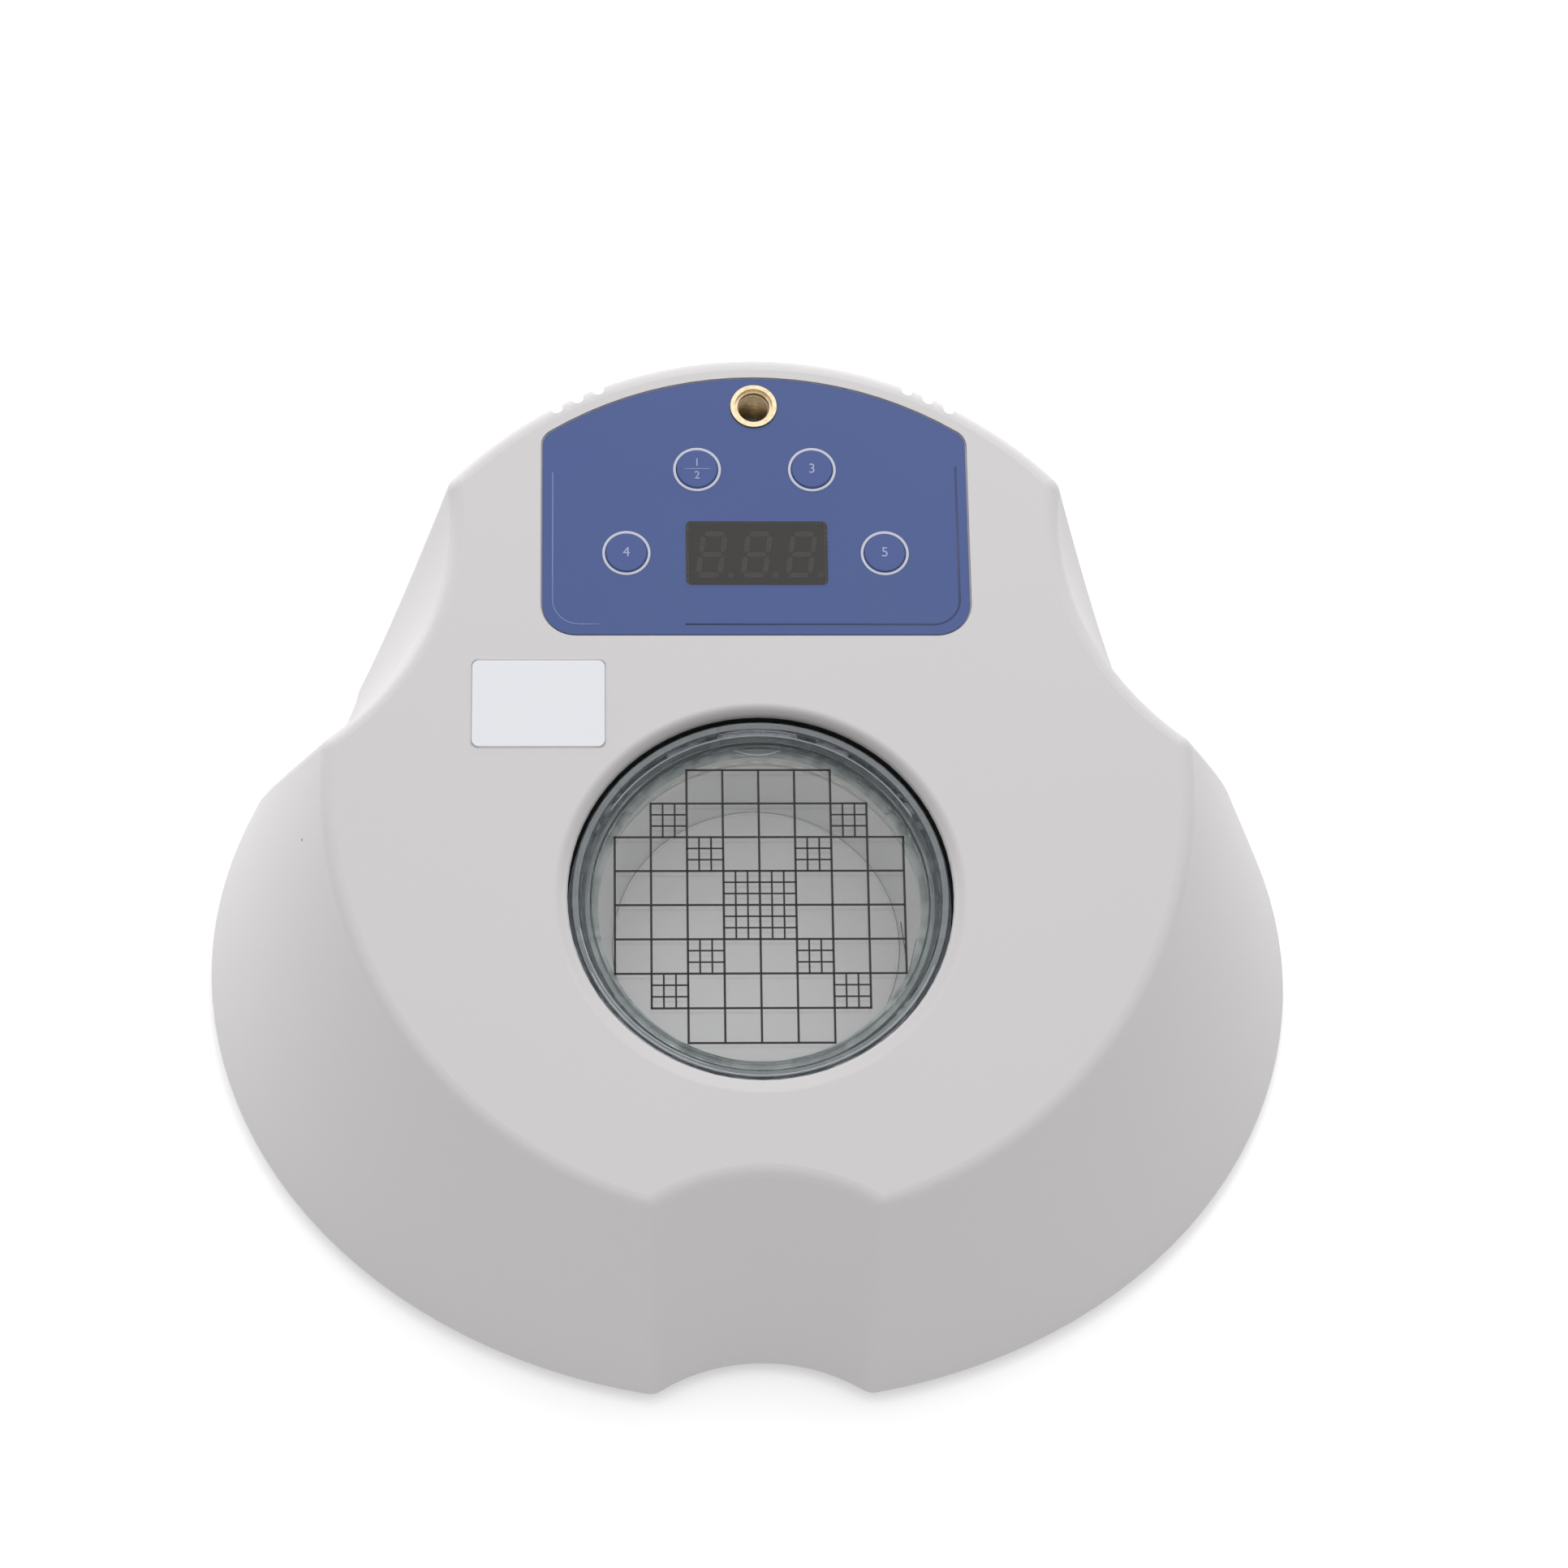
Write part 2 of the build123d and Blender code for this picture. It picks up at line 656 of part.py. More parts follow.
with BuildPart() as label_plate:
    with BuildSketch(deck):
        with Locations((label_x, label_y)):
            RectangleRounded(label_width, label_height, label_round)
    extrude(amount=label_thick)
save(label_plate, "label_plate")

# ------------------------------------------------------------------ stage
stage_section = Plane(deck.origin, deck.x_dir, deck.y_dir * -1)


def turned(points):
    """A ring turned about the stage axis from a closed outline of radius and level."""
    with BuildPart() as ring:
        with BuildSketch(stage_section):
            with BuildLine():
                Polyline(*points, close=True)
            make_face()
        revolve(axis=Axis(deck.origin, normal))
    return ring


seal_outer = hole_radius + seal_wall
stage_seal = turned(
    [
        (hole_radius, -hole_lip),
        (seal_outer, -hole_lip),
        (seal_outer, -wall),
        (seal_outer + seal_flange, -wall),
        (seal_outer + seal_flange, -wall - seal_flange_thick),
        (seal_outer, -wall - seal_flange_thick),
        (seal_outer, -seal_depth),
        (hole_radius, -seal_depth),
    ]
)
save(stage_seal, "stage_seal")
centring_ring = turned(
    [
        (ring_bore, glass_top),
        (ring_bore, ring_step - ring_step_bevel),
        (ring_bore + ring_step_bevel, ring_step),
        (ring_step_radius - ring_step_bevel, ring_step),
        (ring_step_radius, ring_top - ring_bevel),
        (ring_step_radius + ring_bevel, ring_top),
        (ring_radius - ring_bevel, ring_top),
        (ring_radius, ring_top - ring_bevel),
        (ring_radius, glass_low),
        (glass_radius + clear, glass_low),
        (glass_radius + clear, glass_top),
    ]
)
save(centring_ring, "centring_ring")

with BuildPart() as graticule_disc:
    with BuildSketch(deck.offset(glass_low)):
        Circle(glass_radius)
    extrude(amount=glass_thick)
    chamfer(graticule_disc.edges().filter_by(GeomType.CIRCLE), glass_chamfer)
save(graticule_disc, "graticule_disc")

with BuildPart() as stage_ring:
    with BuildSketch(deck.offset(glass_low)):
        Circle(stage_rim)
        for angle in lug_angles:
            x, y = around_stage(stage_rim, [angle])[0]
            with Locations(Location((x, y, 0), (0, 0, angle))):
                SlotCenterToCenter(2 * (lug_radius - stage_rim), 2 * lug_size)
        with Locations((0, -stage_bore)):
            Rectangle(
                2 * lug_size,
                lug_radius + lug_size - stage_bore,
                align=(Align.CENTER, Align.MAX),
            )
        Circle(stage_bore, mode=Mode.SUBTRACT)
        with Locations(*guide_places):
            Circle(screw_radius + clear, mode=Mode.SUBTRACT)
    extrude(amount=-stage_thick)
    with BuildSketch(deck.offset(glass_low)):
        with Locations((0, glass_radius + finger_radius - finger_reach)):
            Circle(finger_radius)
    extrude(amount=-finger_depth, mode=Mode.SUBTRACT)
save(stage_ring, "stage_ring")

# ------------------------------------------------------------------ light well under the stage
with BuildPart() as light_well:
    with BuildSketch(stage_section):
        with BuildLine():
            Polyline(
                (well_mouth, well_level),
                (well_flange, well_level),
                (well_flange, well_level - well_flange_thick),
                (well_mouth + well_wall + well_shoulder, well_level - well_flange_thick),
                (well_floor_radius + well_wall, well_floor - background_thick - well_wall),
                (0, well_floor - background_thick - well_wall),
                (0, well_floor - background_thick),
                (well_floor_radius, well_floor - background_thick),
                close=True,
            )
        make_face()
    revolve(axis=Axis(deck.origin, normal))
    with BuildSketch(deck.offset(well_level)):
        with Locations(*guide_places):
            Circle(screw_radius + running)
        with Locations(*well_screw_places):
            Circle(screw_radius + running)
    extrude(amount=-well_flange_thick, mode=Mode.SUBTRACT)
save(light_well, "light_well")

with BuildPart() as background_disc:
    with BuildSketch(deck.offset(well_floor)):
        Circle(well_floor_radius - clear)
    extrude(amount=-background_thick)
save(background_disc, "background_disc")

with BuildPart() as led_board:
    with BuildSketch(deck.offset(led_board_top)):
        Circle(stage_rim + led_board_margin)
        Circle(well_mouth + clear, mode=Mode.SUBTRACT)
    extrude(amount=-board_thick)
save(led_board, "led_board")

with BuildPart() as leds:
    with BuildSketch(deck.offset(led_board_top)):
        with PolarLocations(led_radius, led_count):
            Rectangle(led_size, led_size)
    extrude(amount=led_height)
save(leds, "leds")

guide_length = glass_low + running - well_level + well_flange_thick + guide_tail
guide_planes = flipped(deck_planes(guide_places, glass_low + running))
save(screws(guide_planes, guide_length), "guide_screws")

with BuildPart() as guide_nuts:
    for plane in deck_planes(guide_places, well_level - well_flange_thick):
        with BuildSketch(plane):
            RegularPolygon(nut_radius, 6)
            Circle(screw_radius + running, mode=Mode.SUBTRACT)
        extrude(amount=-nut_thick)
save(guide_nuts, "guide_nuts")

spring_low = well_level + spring_wire
spring_high = stage_low - spring_wire
with BuildPart() as stage_springs:
    for plane in deck_planes(guide_places, spring_low):
        with BuildLine():
            coil = Helix(
                pitch=(spring_high - spring_low) / spring_turns,
                height=spring_high - spring_low,
                radius=spring_radius,
                center=plane.origin,
                direction=plane.z_dir,
            )
        with BuildSketch(Plane(origin=coil @ 0, x_dir=plane.z_dir, z_dir=coil % 0)):
            Rectangle(2 * spring_wire, 2 * spring_wire)
        sweep(path=coil, is_frenet=True)
save(stage_springs, "stage_springs")

well_screw_planes = deck_planes(well_screw_places, well_level - well_flange_thick)
save(screws(well_screw_planes, well_flange_thick + post_grip), "light_well_screws")

with BuildPart() as pressure_sensor:
    with BuildSketch(deck.offset(well_level)):
        with Locations((0, -lug_radius)):
            Rectangle(sensor_size, sensor_size)
    extrude(amount=stage_low - stage_travel - well_level - sensor_stroke)
    with BuildSketch(deck.offset(well_level)):
        with Locations((0, -lug_radius)):
            Circle(sensor_plunger)
    extrude(amount=stage_low - stage_travel - well_level - running)
save(pressure_sensor, "pressure_sensor")

# ------------------------------------------------------------------ rear panel
rear_face = Plane(origin=(0, pocket_y + rear_panel_thick, rear_row), x_dir=(-1, 0, 0), z_dir=(0, 1, 0))
rear_inner = rear_face.offset(-rear_panel_thick)
rear_panel_height = rear_panel_high - rear_panel_low

with BuildPart() as rear_panel:
    with BuildSketch(rear_inner):
        with Locations((0, (rear_panel_low + rear_panel_high) / 2 - rear_row)):
            RectangleRounded(2 * rear_panel_half_width, rear_panel_height, rear_panel_round)
        with Locations(*[(x, height - rear_row) for x, height in rear_screw_places]):
            Circle(screw_radius + running, mode=Mode.SUBTRACT)
        with Locations((-switch_x, 0)):
            Rectangle(switch_width + 2 * clear, switch_height + 2 * clear, mode=Mode.SUBTRACT)
        with Locations((-serial_x, 0)):
            Rectangle(
                serial_shell_width + 2 * serial_shell_play,
                serial_shell_height + 2 * serial_shell_play,
                mode=Mode.SUBTRACT,
            )
            with GridLocations(serial_screw_pitch, 0, 2, 1):
                Circle(screw_radius + running, mode=Mode.SUBTRACT)
        with Locations((-knob_x, 0)):
            Circle(pot_bush_radius + running, mode=Mode.SUBTRACT)
        with Locations((-inlet_x, 0)):
            Circle(inlet_radius + running, mode=Mode.SUBTRACT)
    extrude(amount=rear_panel_thick)
save(rear_panel, "rear_panel")

rear_screw_planes = [
    Plane((x, rear_face.origin.Y, height), rear_face.x_dir, rear_face.z_dir)
    for x, height in rear_screw_places
]
save(screws(flipped(rear_screw_planes), rear_panel_thick + wall + past), "rear_panel_screws")

# The rocker turns on a pin through the switch's side walls.
rocker_pivot = Plane(
    origin=(switch_x, pocket_y + rear_panel_thick - rocker_depth, rear_row),
    x_dir=(0, 1, 0),
    z_dir=(1, 0, 0),
)
rocker_width = switch_width - 2 * switch_side_wall - 2 * clear
with BuildPart() as power_switch:
    with BuildSketch(rear_face):
        with Locations((-switch_x, 0)):
            RectangleRounded(
                switch_width + 2 * switch_flange, switch_height + 2 * switch_flange, switch_round
            )
    extrude(amount=switch_bezel)
    with BuildSketch(rear_face.offset(switch_bezel)):
        with Locations((-switch_x, 0)):
            Rectangle(switch_width, switch_height)
    extrude(amount=-switch_depth - switch_bezel)
    with BuildSketch(rear_face.offset(switch_bezel)):
        with Locations((-switch_x, 0)):
            Rectangle(switch_width - 2 * switch_side_wall, switch_height - 2 * switch_side_wall)
    extrude(amount=-rocker_depth - rocker_radius - switch_bezel, mode=Mode.SUBTRACT)
    with BuildSketch(rear_face.offset(-switch_depth)):
        with Locations((-switch_x, 0)):
            with GridLocations(0, terminal_pitch, 1, 2):
                Rectangle(terminal_width, terminal_thick)
    extrude(amount=-terminal_length)
    with BuildSketch(rocker_pivot.offset(-switch_width / 2)):
        Circle(rocker_pin_radius)
    extrude(amount=switch_width)
save(power_switch, "power_switch")

with BuildPart() as power_rocker:
    with BuildSketch(rocker_pivot.offset(-rocker_width / 2)):
        with BuildLine():
            Polyline(
                (-rocker_back, rocker_back_half),
                (-rocker_back, -rocker_back_half),
                (rocker_crest, -rocker_half),
                (rocker_crest + rocker_tip, -rocker_half),
                (rocker_crest, 0),
                (rocker_crest + rocker_tip, rocker_half),
                (rocker_crest, rocker_half),
                close=True,
            )
        make_face()
        Circle(rocker_pin_radius + running, mode=Mode.SUBTRACT)
    extrude(amount=rocker_width)
    tilted = power_rocker.part.rotate(Axis(rocker_pivot.origin, (1, 0, 0)), -rocker_swing / 2)
tilted.label = "power_rocker"
export_step(tilted, "parts/power_rocker.step")

with BuildPart() as serial_port:
    with BuildSketch(rear_inner):
        with Locations((-serial_x, 0)):
            Rectangle(serial_width, serial_height)
            with GridLocations(serial_screw_pitch, 0, 2, 1):
                Circle(screw_radius + running, mode=Mode.SUBTRACT)
    extrude(amount=-serial_depth)
    with BuildSketch(rear_inner):
        with Locations((-serial_x, 0)):
            Trapezoid(serial_shell_width, serial_shell_height, serial_shell_lean, rotation=serial_shell_turn)
    extrude(amount=serial_shell_reach)
    fillet(serial_port.edges().filter_by(Axis.Y).group_by(Axis.Y)[-1], serial_shell_round)
    with BuildSketch(rear_inner.offset(serial_shell_reach)):
        with Locations((-serial_x, 0)):
            Trapezoid(
                serial_shell_width - 2 * serial_shell_wall,
                serial_shell_height - 2 * serial_shell_wall,
                serial_shell_lean,
                rotation=serial_shell_turn,
            )
    extrude(amount=-serial_shell_reach, mode=Mode.SUBTRACT)
    with BuildSketch(rear_inner):
        with Locations((-serial_x, 0)):
            with Locations((0, serial_pin_row)):
                with GridLocations(serial_pin_pitch, 0, serial_upper_pins, 1):
                    Circle(serial_pin_radius)
            with Locations((0, -serial_pin_row)):
                with GridLocations(serial_pin_pitch, 0, serial_lower_pins, 1):
                    Circle(serial_pin_radius)
    extrude(amount=serial_shell_reach - serial_pin_sunk)
save(serial_port, "serial_port")

with BuildPart() as serial_jackscrews:
    for x in (-serial_x - serial_screw_pitch / 2, -serial_x + serial_screw_pitch / 2):
        with BuildSketch(rear_face):
            with Locations((x, 0)):
                RegularPolygon(nut_radius, 6)
        extrude(amount=serial_shell_reach - rear_panel_thick)
        with BuildSketch(rear_face):
            with Locations((x, 0)):
                Circle(screw_radius)
        extrude(amount=-rear_panel_thick - serial_depth / 2)
save(serial_jackscrews, "serial_jackscrews")

with BuildPart() as sensitivity_control:
    with BuildSketch(rear_inner):
        with Locations((-knob_x, 0)):
            Circle(pot_radius)
    extrude(amount=-pot_depth)
    with BuildSketch(rear_inner):
        with Locations((-knob_x, 0)):
            Circle(pot_bush_radius)
    extrude(amount=rear_panel_thick + pot_nut)
    with BuildSketch(rear_face):
        with Locations((-knob_x, 0)):
            RegularPolygon(pot_bush_radius + pot_nut_reach, 6)
    extrude(amount=pot_nut)
    with BuildSketch(rear_inner):
        with Locations((-knob_x, 0)):
            Circle(knob_shaft_radius)
    extrude(amount=rear_panel_thick + pot_nut + knob_length - knob_crown - clear)
save(sensitivity_control, "sensitivity_control")

knob_seat = pot_nut + 2 * clear
with BuildPart() as sensitivity_knob:
    with BuildSketch(rear_face.offset(knob_seat)):
        with Locations((-knob_x, 0)):
            Circle(knob_radius)
    extrude(amount=knob_length)
    fillet(sensitivity_knob.edges().sort_by(Axis.Y)[-1], knob_round)
    with BuildSketch(rear_face.offset(knob_seat)):
        with Locations((-knob_x, 0)):
            Circle(knob_shaft_radius + running)
    extrude(amount=knob_length - knob_crown, mode=Mode.SUBTRACT)
    with BuildSketch(rear_face.offset(knob_seat + knob_crown)):
        with Locations((-knob_x, 0)):
            with PolarLocations(knob_radius + knob_flute_offset, knob_flutes):
                Circle(knob_flute_radius)
    extrude(amount=knob_length, mode=Mode.SUBTRACT)
    with BuildSketch(rear_face.offset(knob_seat + knob_length)):
        with Locations((-knob_x, 0)):
            Rectangle(pointer_width, knob_radius, align=(Align.CENTER, Align.MIN))
    extrude(amount=-pointer_depth, mode=Mode.SUBTRACT)
save(sensitivity_knob, "sensitivity_knob")

with BuildPart() as power_inlet:
    with BuildSketch(rear_face):
        with Locations((-inlet_x, 0)):
            Circle(inlet_radius + inlet_flange_reach)
    extrude(amount=inlet_flange)
    with BuildSketch(rear_face):
        with Locations((-inlet_x, 0)):
            Circle(inlet_radius)
    extrude(amount=-inlet_depth)
    with BuildSketch(rear_face.offset(inlet_flange)):
        with Locations((-inlet_x, 0)):
            Circle(inlet_bore_radius)
            Circle(inlet_pin_radius, mode=Mode.SUBTRACT)
    extrude(amount=-inlet_bore_length, mode=Mode.SUBTRACT)
save(power_inlet, "power_inlet")

with BuildPart() as power_inlet_nut:
    with BuildSketch(rear_inner):
        with Locations((-inlet_x, 0)):
            RegularPolygon(inlet_radius + inlet_nut_reach, 6)
            Circle(inlet_radius + running, mode=Mode.SUBTRACT)
    extrude(amount=-nut_thick)
save(power_inlet_nut, "power_inlet_nut")

# ------------------------------------------------------------------ main board
main_board_low = plate_high + pillar_height
main_board_high = main_board_low + board_thick
main_board_y = (main_board_front + main_board_back) / 2
with BuildPart() as main_board:
    with BuildSketch(Plane.XY.offset(main_board_low)):
        with Locations((0, main_board_y)):
            Rectangle(2 * main_board_half_width, main_board_back - main_board_front)
        with Locations(*pillar_places):
            Circle(screw_radius + running, mode=Mode.SUBTRACT)
    extrude(amount=board_thick)
save(main_board, "main_board")

pillar_planes = flipped(level_planes(pillar_places, main_board_high))
save(screws(pillar_planes, board_thick + pillar_height), "main_board_screws")

with BuildPart() as buzzer:
    with BuildSketch(Plane.XY.offset(main_board_high)):
        with Locations(buzzer_place):
            Circle(buzzer_radius)
    extrude(amount=buzzer_height)
    with BuildSketch(Plane.XY.offset(main_board_high + buzzer_height)):
        with Locations(buzzer_place):
            Circle(buzzer_hole)
    extrude(amount=-buzzer_hole_depth, mode=Mode.SUBTRACT)
save(buzzer, "buzzer")

with BuildPart() as board_components:
    for (x, y), (width, depth, height) in component_blocks.items():
        with BuildSketch(Plane.XY.offset(main_board_high)):
            with Locations((x, y)):
                Rectangle(width, depth)
        extrude(amount=height)
    with BuildSketch(Plane.XY.offset(main_board_high)):
        with Locations(*capacitor_places):
            Circle(capacitor_radius)
    extrude(amount=capacitor_height)
save(board_components, "board_components")

cable_start = deck.offset(control_board_level - board_thick - header_height).from_local_coords(
    (0, control_board_low + header_depth / 2, 0)
)
lower_header_y = main_board_front + lower_header_inset + header_depth / 2
cable_end = Vector(0, lower_header_y, main_board_high + header_height)
with BuildPart() as cable_headers:
    with BuildSketch(deck.offset(control_board_level - board_thick)):
        with Locations((0, control_board_low + header_depth / 2)):
            Rectangle(header_width, header_depth)
    extrude(amount=-header_height)
    with BuildSketch(Plane.XY.offset(main_board_high)):
        with Locations((0, lower_header_y)):
            Rectangle(header_width, header_depth)
    extrude(amount=header_height)
save(cable_headers, "cable_headers")

with BuildPart() as ribbon_cable:
    with BuildLine() as route:
        FilletPolyline(
            cable_start,
            cable_start - normal * cable_straight,
            Vector(0, lower_header_y - cable_bow, (cable_start.Z + cable_end.Z) / 2),
            cable_end + Vector(0, 0, cable_straight),
            cable_end,
            radius=cable_bend,
        )
    with BuildSketch(Plane(origin=cable_start, x_dir=(1, 0, 0), z_dir=normal * -1)):
        Rectangle(cable_width, cable_thick)
    sweep(path=route.line)
save(ribbon_cable, "ribbon_cable")
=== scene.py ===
# %% [markdown]
# # A bench colony counter
#
# This lesson dresses a ready made assembly. The case, the glass, the keys and the rear controls are
# already there, at their real size, and they are never moved. What is added here is what an eye looks
# for: printed lines, a cut thread, cross recesses in the screws, and a finish for every surface.
# Everything is in metres, +Z up, with the user standing at -Y.

# %% Load the assembly
import json
import math

import bpy
from mathutils import Matrix, Vector


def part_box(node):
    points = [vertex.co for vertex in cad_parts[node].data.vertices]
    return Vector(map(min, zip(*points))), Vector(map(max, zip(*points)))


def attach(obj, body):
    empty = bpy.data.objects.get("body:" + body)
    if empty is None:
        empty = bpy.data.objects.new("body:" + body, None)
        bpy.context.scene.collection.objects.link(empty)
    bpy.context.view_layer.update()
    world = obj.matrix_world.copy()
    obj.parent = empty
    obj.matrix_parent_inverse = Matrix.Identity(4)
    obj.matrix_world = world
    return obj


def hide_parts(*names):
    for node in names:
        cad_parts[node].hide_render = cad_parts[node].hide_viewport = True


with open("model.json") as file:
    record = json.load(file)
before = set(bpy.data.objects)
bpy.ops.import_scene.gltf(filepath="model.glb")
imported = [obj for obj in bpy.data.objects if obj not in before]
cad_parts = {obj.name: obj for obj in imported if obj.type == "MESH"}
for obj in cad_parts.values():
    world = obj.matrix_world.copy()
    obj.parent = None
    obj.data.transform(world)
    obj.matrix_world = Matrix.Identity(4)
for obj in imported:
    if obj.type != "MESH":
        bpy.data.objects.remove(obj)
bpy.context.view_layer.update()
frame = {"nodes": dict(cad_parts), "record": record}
MM = 0.001

# %% [markdown]
# ## Where the deck is
#
# Most of the detail lies on the sloping deck, so it helps to think in the deck's own directions:
# x to the right, y up the slope and w out of the surface, counted in millimetres from the place where
# the stage's axis meets the deck. The record says where the bore for a dish is, 6.5 mm under the deck,
# and which way is out. One matrix then carries any flat work onto the slope.

# %% The deck's own directions
mounts = {mount["name"]: mount for mount in frame["record"]["mounts"]}
BORE_DEPTH, GLASS_DEPTH = 6.5, 8.0
out = Vector(mounts["dish_bore"]["axis"]).normalized()
right = Vector((1, 0, 0))
upslope = out.cross(right)
stage_centre = Vector(mounts["dish_bore"]["pos_m"]) + out * BORE_DEPTH * MM


def on_deck(x=0.0, y=0.0, w=0.0):
    """The matrix that lays flat work on the deck at x, y and w millimetres."""
    place = stage_centre + (right * x + upslope * y + out * w) * MM
    turn = Matrix((right, upslope, out)).transposed()
    return Matrix.Translation(place) @ turn.to_4x4()


print("stage centre", tuple(round(v, 4) for v in stage_centre))

# %% [markdown]
# ## Three small habits
#
# Operators act on whatever is selected, so each piece starts with nothing selected. When a piece is
# finished it is laid in place, its transform is applied so that its place is in its mesh, and it is
# told which body carries it.

# %% Start and finish a piece
def start_fresh():
    """Leave edit mode and select nothing."""
    if bpy.context.object and bpy.context.object.mode != "OBJECT":
        bpy.ops.object.mode_set(mode="OBJECT")
    bpy.ops.object.select_all(action="DESELECT")


def only(*objects):
    """Select these objects alone and make the first one active."""
    start_fresh()
    for thing in objects:
        thing.select_set(True)
    bpy.context.view_layer.objects.active = objects[0]


def join(pieces):
    """Several objects become one."""
    only(*pieces)
    if len(pieces) > 1:
        bpy.ops.object.join()
    return bpy.context.object


def finish_piece(piece, name, body, material, place=None, smooth=None):
    """Lay a piece in place, apply its transform, name it, finish it and say what carries it."""
    only(piece)
    if place is not None:
        piece.matrix_world = place @ piece.matrix_world
    bpy.ops.object.transform_apply(location=True, rotation=True, scale=True)
    bpy.ops.object.mode_set(mode="EDIT")
    bpy.ops.mesh.select_all(action="SELECT")
    bpy.ops.mesh.remove_doubles(threshold=1e-6)
    bpy.ops.mesh.normals_make_consistent(inside=False)
    bpy.ops.object.mode_set(mode="OBJECT")
    if smooth:
        bpy.ops.object.shade_smooth_by_angle(angle=math.radians(smooth))
    piece.name = piece.data.name = name
    piece.data.materials.clear()
    piece.data.materials.append(material)
    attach(piece, body)
    print(name, len(piece.data.polygons), "faces on", body)
    return piece


# %% [markdown]
# ## The view
#
# The counter is seen from the front and from well above, about 49 degrees up, with a long lens that
# keeps the round case from spreading. The stand for such a view is a little to the left of centre.

# %% Camera
VIEW_PLACE = Vector((-0.0449, -0.8360, 1.0455))
VIEW_TURN = (40.90, -1.75, -1.605)  # degrees about x, y and z
LENS = 103.66  # millimetres, for a 36 mm square sensor

start_fresh()
bpy.ops.object.camera_add(location=VIEW_PLACE, rotation=[math.radians(a) for a in VIEW_TURN])
camera = bpy.context.object
camera.data.sensor_width = 36.0
camera.data.lens = LENS
camera.data.clip_start = 0.05
bpy.context.scene.camera = camera
bpy.context.scene.view_settings.view_transform = "Standard"
print("camera at", tuple(VIEW_PLACE))

# %% [markdown]
# ## Floor and light
#
# White plastic shows its shape best in soft light. The sky is dimmer near the horizon than
# overhead, so that the deck is brighter than the skirt. A broad lamp behind and above draws the far
# wall of the light well into shade, and two low lamps behind the sides brighten the scooped flanks.
# The floor is pale, and it glows a little for the camera, for mirrors and through glass, so that it
# reads as white and still takes the soft shadow.

# %% A node helper
def new_material(name):
    """An empty material, its node tree and its output node."""
    material = bpy.data.materials.new(name)
    material.use_nodes = True
    tree = material.node_tree
    tree.nodes.clear()
    return material, tree, tree.nodes.new("ShaderNodeOutputMaterial")


def tone(red, green, blue):
    """A colour given as 0 to 255 display values, as the linear colour that a shader takes."""
    return tuple(
        c / 255 / 12.92 if c <= 10 else ((c / 255 + 0.055) / 1.055) ** 2.4
        for c in (red, green, blue)
    ) + (1.0,)


def reckon(tree, operation, *values):
    """A math node; each value may be a number or a socket."""
    node = tree.nodes.new("ShaderNodeMath")
    node.operation = operation
    for socket, value in zip(node.inputs, values):
        if isinstance(value, (int, float)):
            socket.default_value = value
        else:
            tree.links.new(value, socket)
    return node.outputs[0]


def background_rays(tree):
    """1 for rays from the camera, from mirrors and through glass, else 0."""
    rays = tree.nodes.new("ShaderNodeLightPath").outputs
    either = reckon(tree, "MAXIMUM", rays["Is Camera Ray"], rays["Is Transmission Ray"])
    return reckon(tree, "MAXIMUM", either, rays["Is Glossy Ray"])


# %% Floor
FLOOR_TONE = (0.75, 0.75, 0.75, 1.0)
FLOOR_GLOW = 0.40
start_fresh()
bpy.ops.mesh.primitive_plane_add(size=12, location=(0, 0, -0.0002))
floor = bpy.context.object
floor.name = "floor"
paper, tree, surface = new_material("white_paper")
matt = tree.nodes.new("ShaderNodeBsdfDiffuse")
matt.inputs["Color"].default_value = FLOOR_TONE
glow = tree.nodes.new("ShaderNodeEmission")
level = reckon(tree, "MULTIPLY", background_rays(tree), FLOOR_GLOW)
tree.links.new(level, glow.inputs["Strength"])
both = tree.nodes.new("ShaderNodeAddShader")
tree.links.new(matt.outputs[0], both.inputs[0])
tree.links.new(glow.outputs[0], both.inputs[1])
tree.links.new(both.outputs[0], surface.inputs["Surface"])
floor.data.materials.append(paper)
print(floor.name, "in", paper.name)

# %% Sky
SKY_LOW, SKY_HIGH = 0.46, 1.04
world = bpy.data.worlds.new("studio")
bpy.context.scene.world = world
world.use_nodes = True
tree = world.node_tree
sky = tree.nodes["Background"]
sky.inputs["Color"].default_value = (1, 1, 1, 1)
toward = tree.nodes.new("ShaderNodeTexCoord")
height = tree.nodes.new("ShaderNodeSeparateXYZ")
tree.links.new(toward.outputs["Generated"], height.inputs[0])
climb = tree.nodes.new("ShaderNodeMapRange")
climb.inputs["To Min"].default_value = SKY_LOW
climb.inputs["To Max"].default_value = SKY_HIGH
tree.links.new(height.outputs["Z"], climb.inputs["Value"])
span = tree.nodes.new("ShaderNodeMapRange")
span.inputs["To Max"].default_value = 1.0
tree.links.new(climb.outputs["Result"], span.inputs["To Min"])
rays = tree.nodes.new("ShaderNodeLightPath")
tree.links.new(rays.outputs["Is Camera Ray"], span.inputs["Value"])
tree.links.new(span.outputs["Result"], sky.inputs["Strength"])
print("sky from", SKY_LOW, "at the horizon to", SKY_HIGH, "overhead")

# %% Lamps
LAMP_TARGET = Vector((0, 0, 0.06))


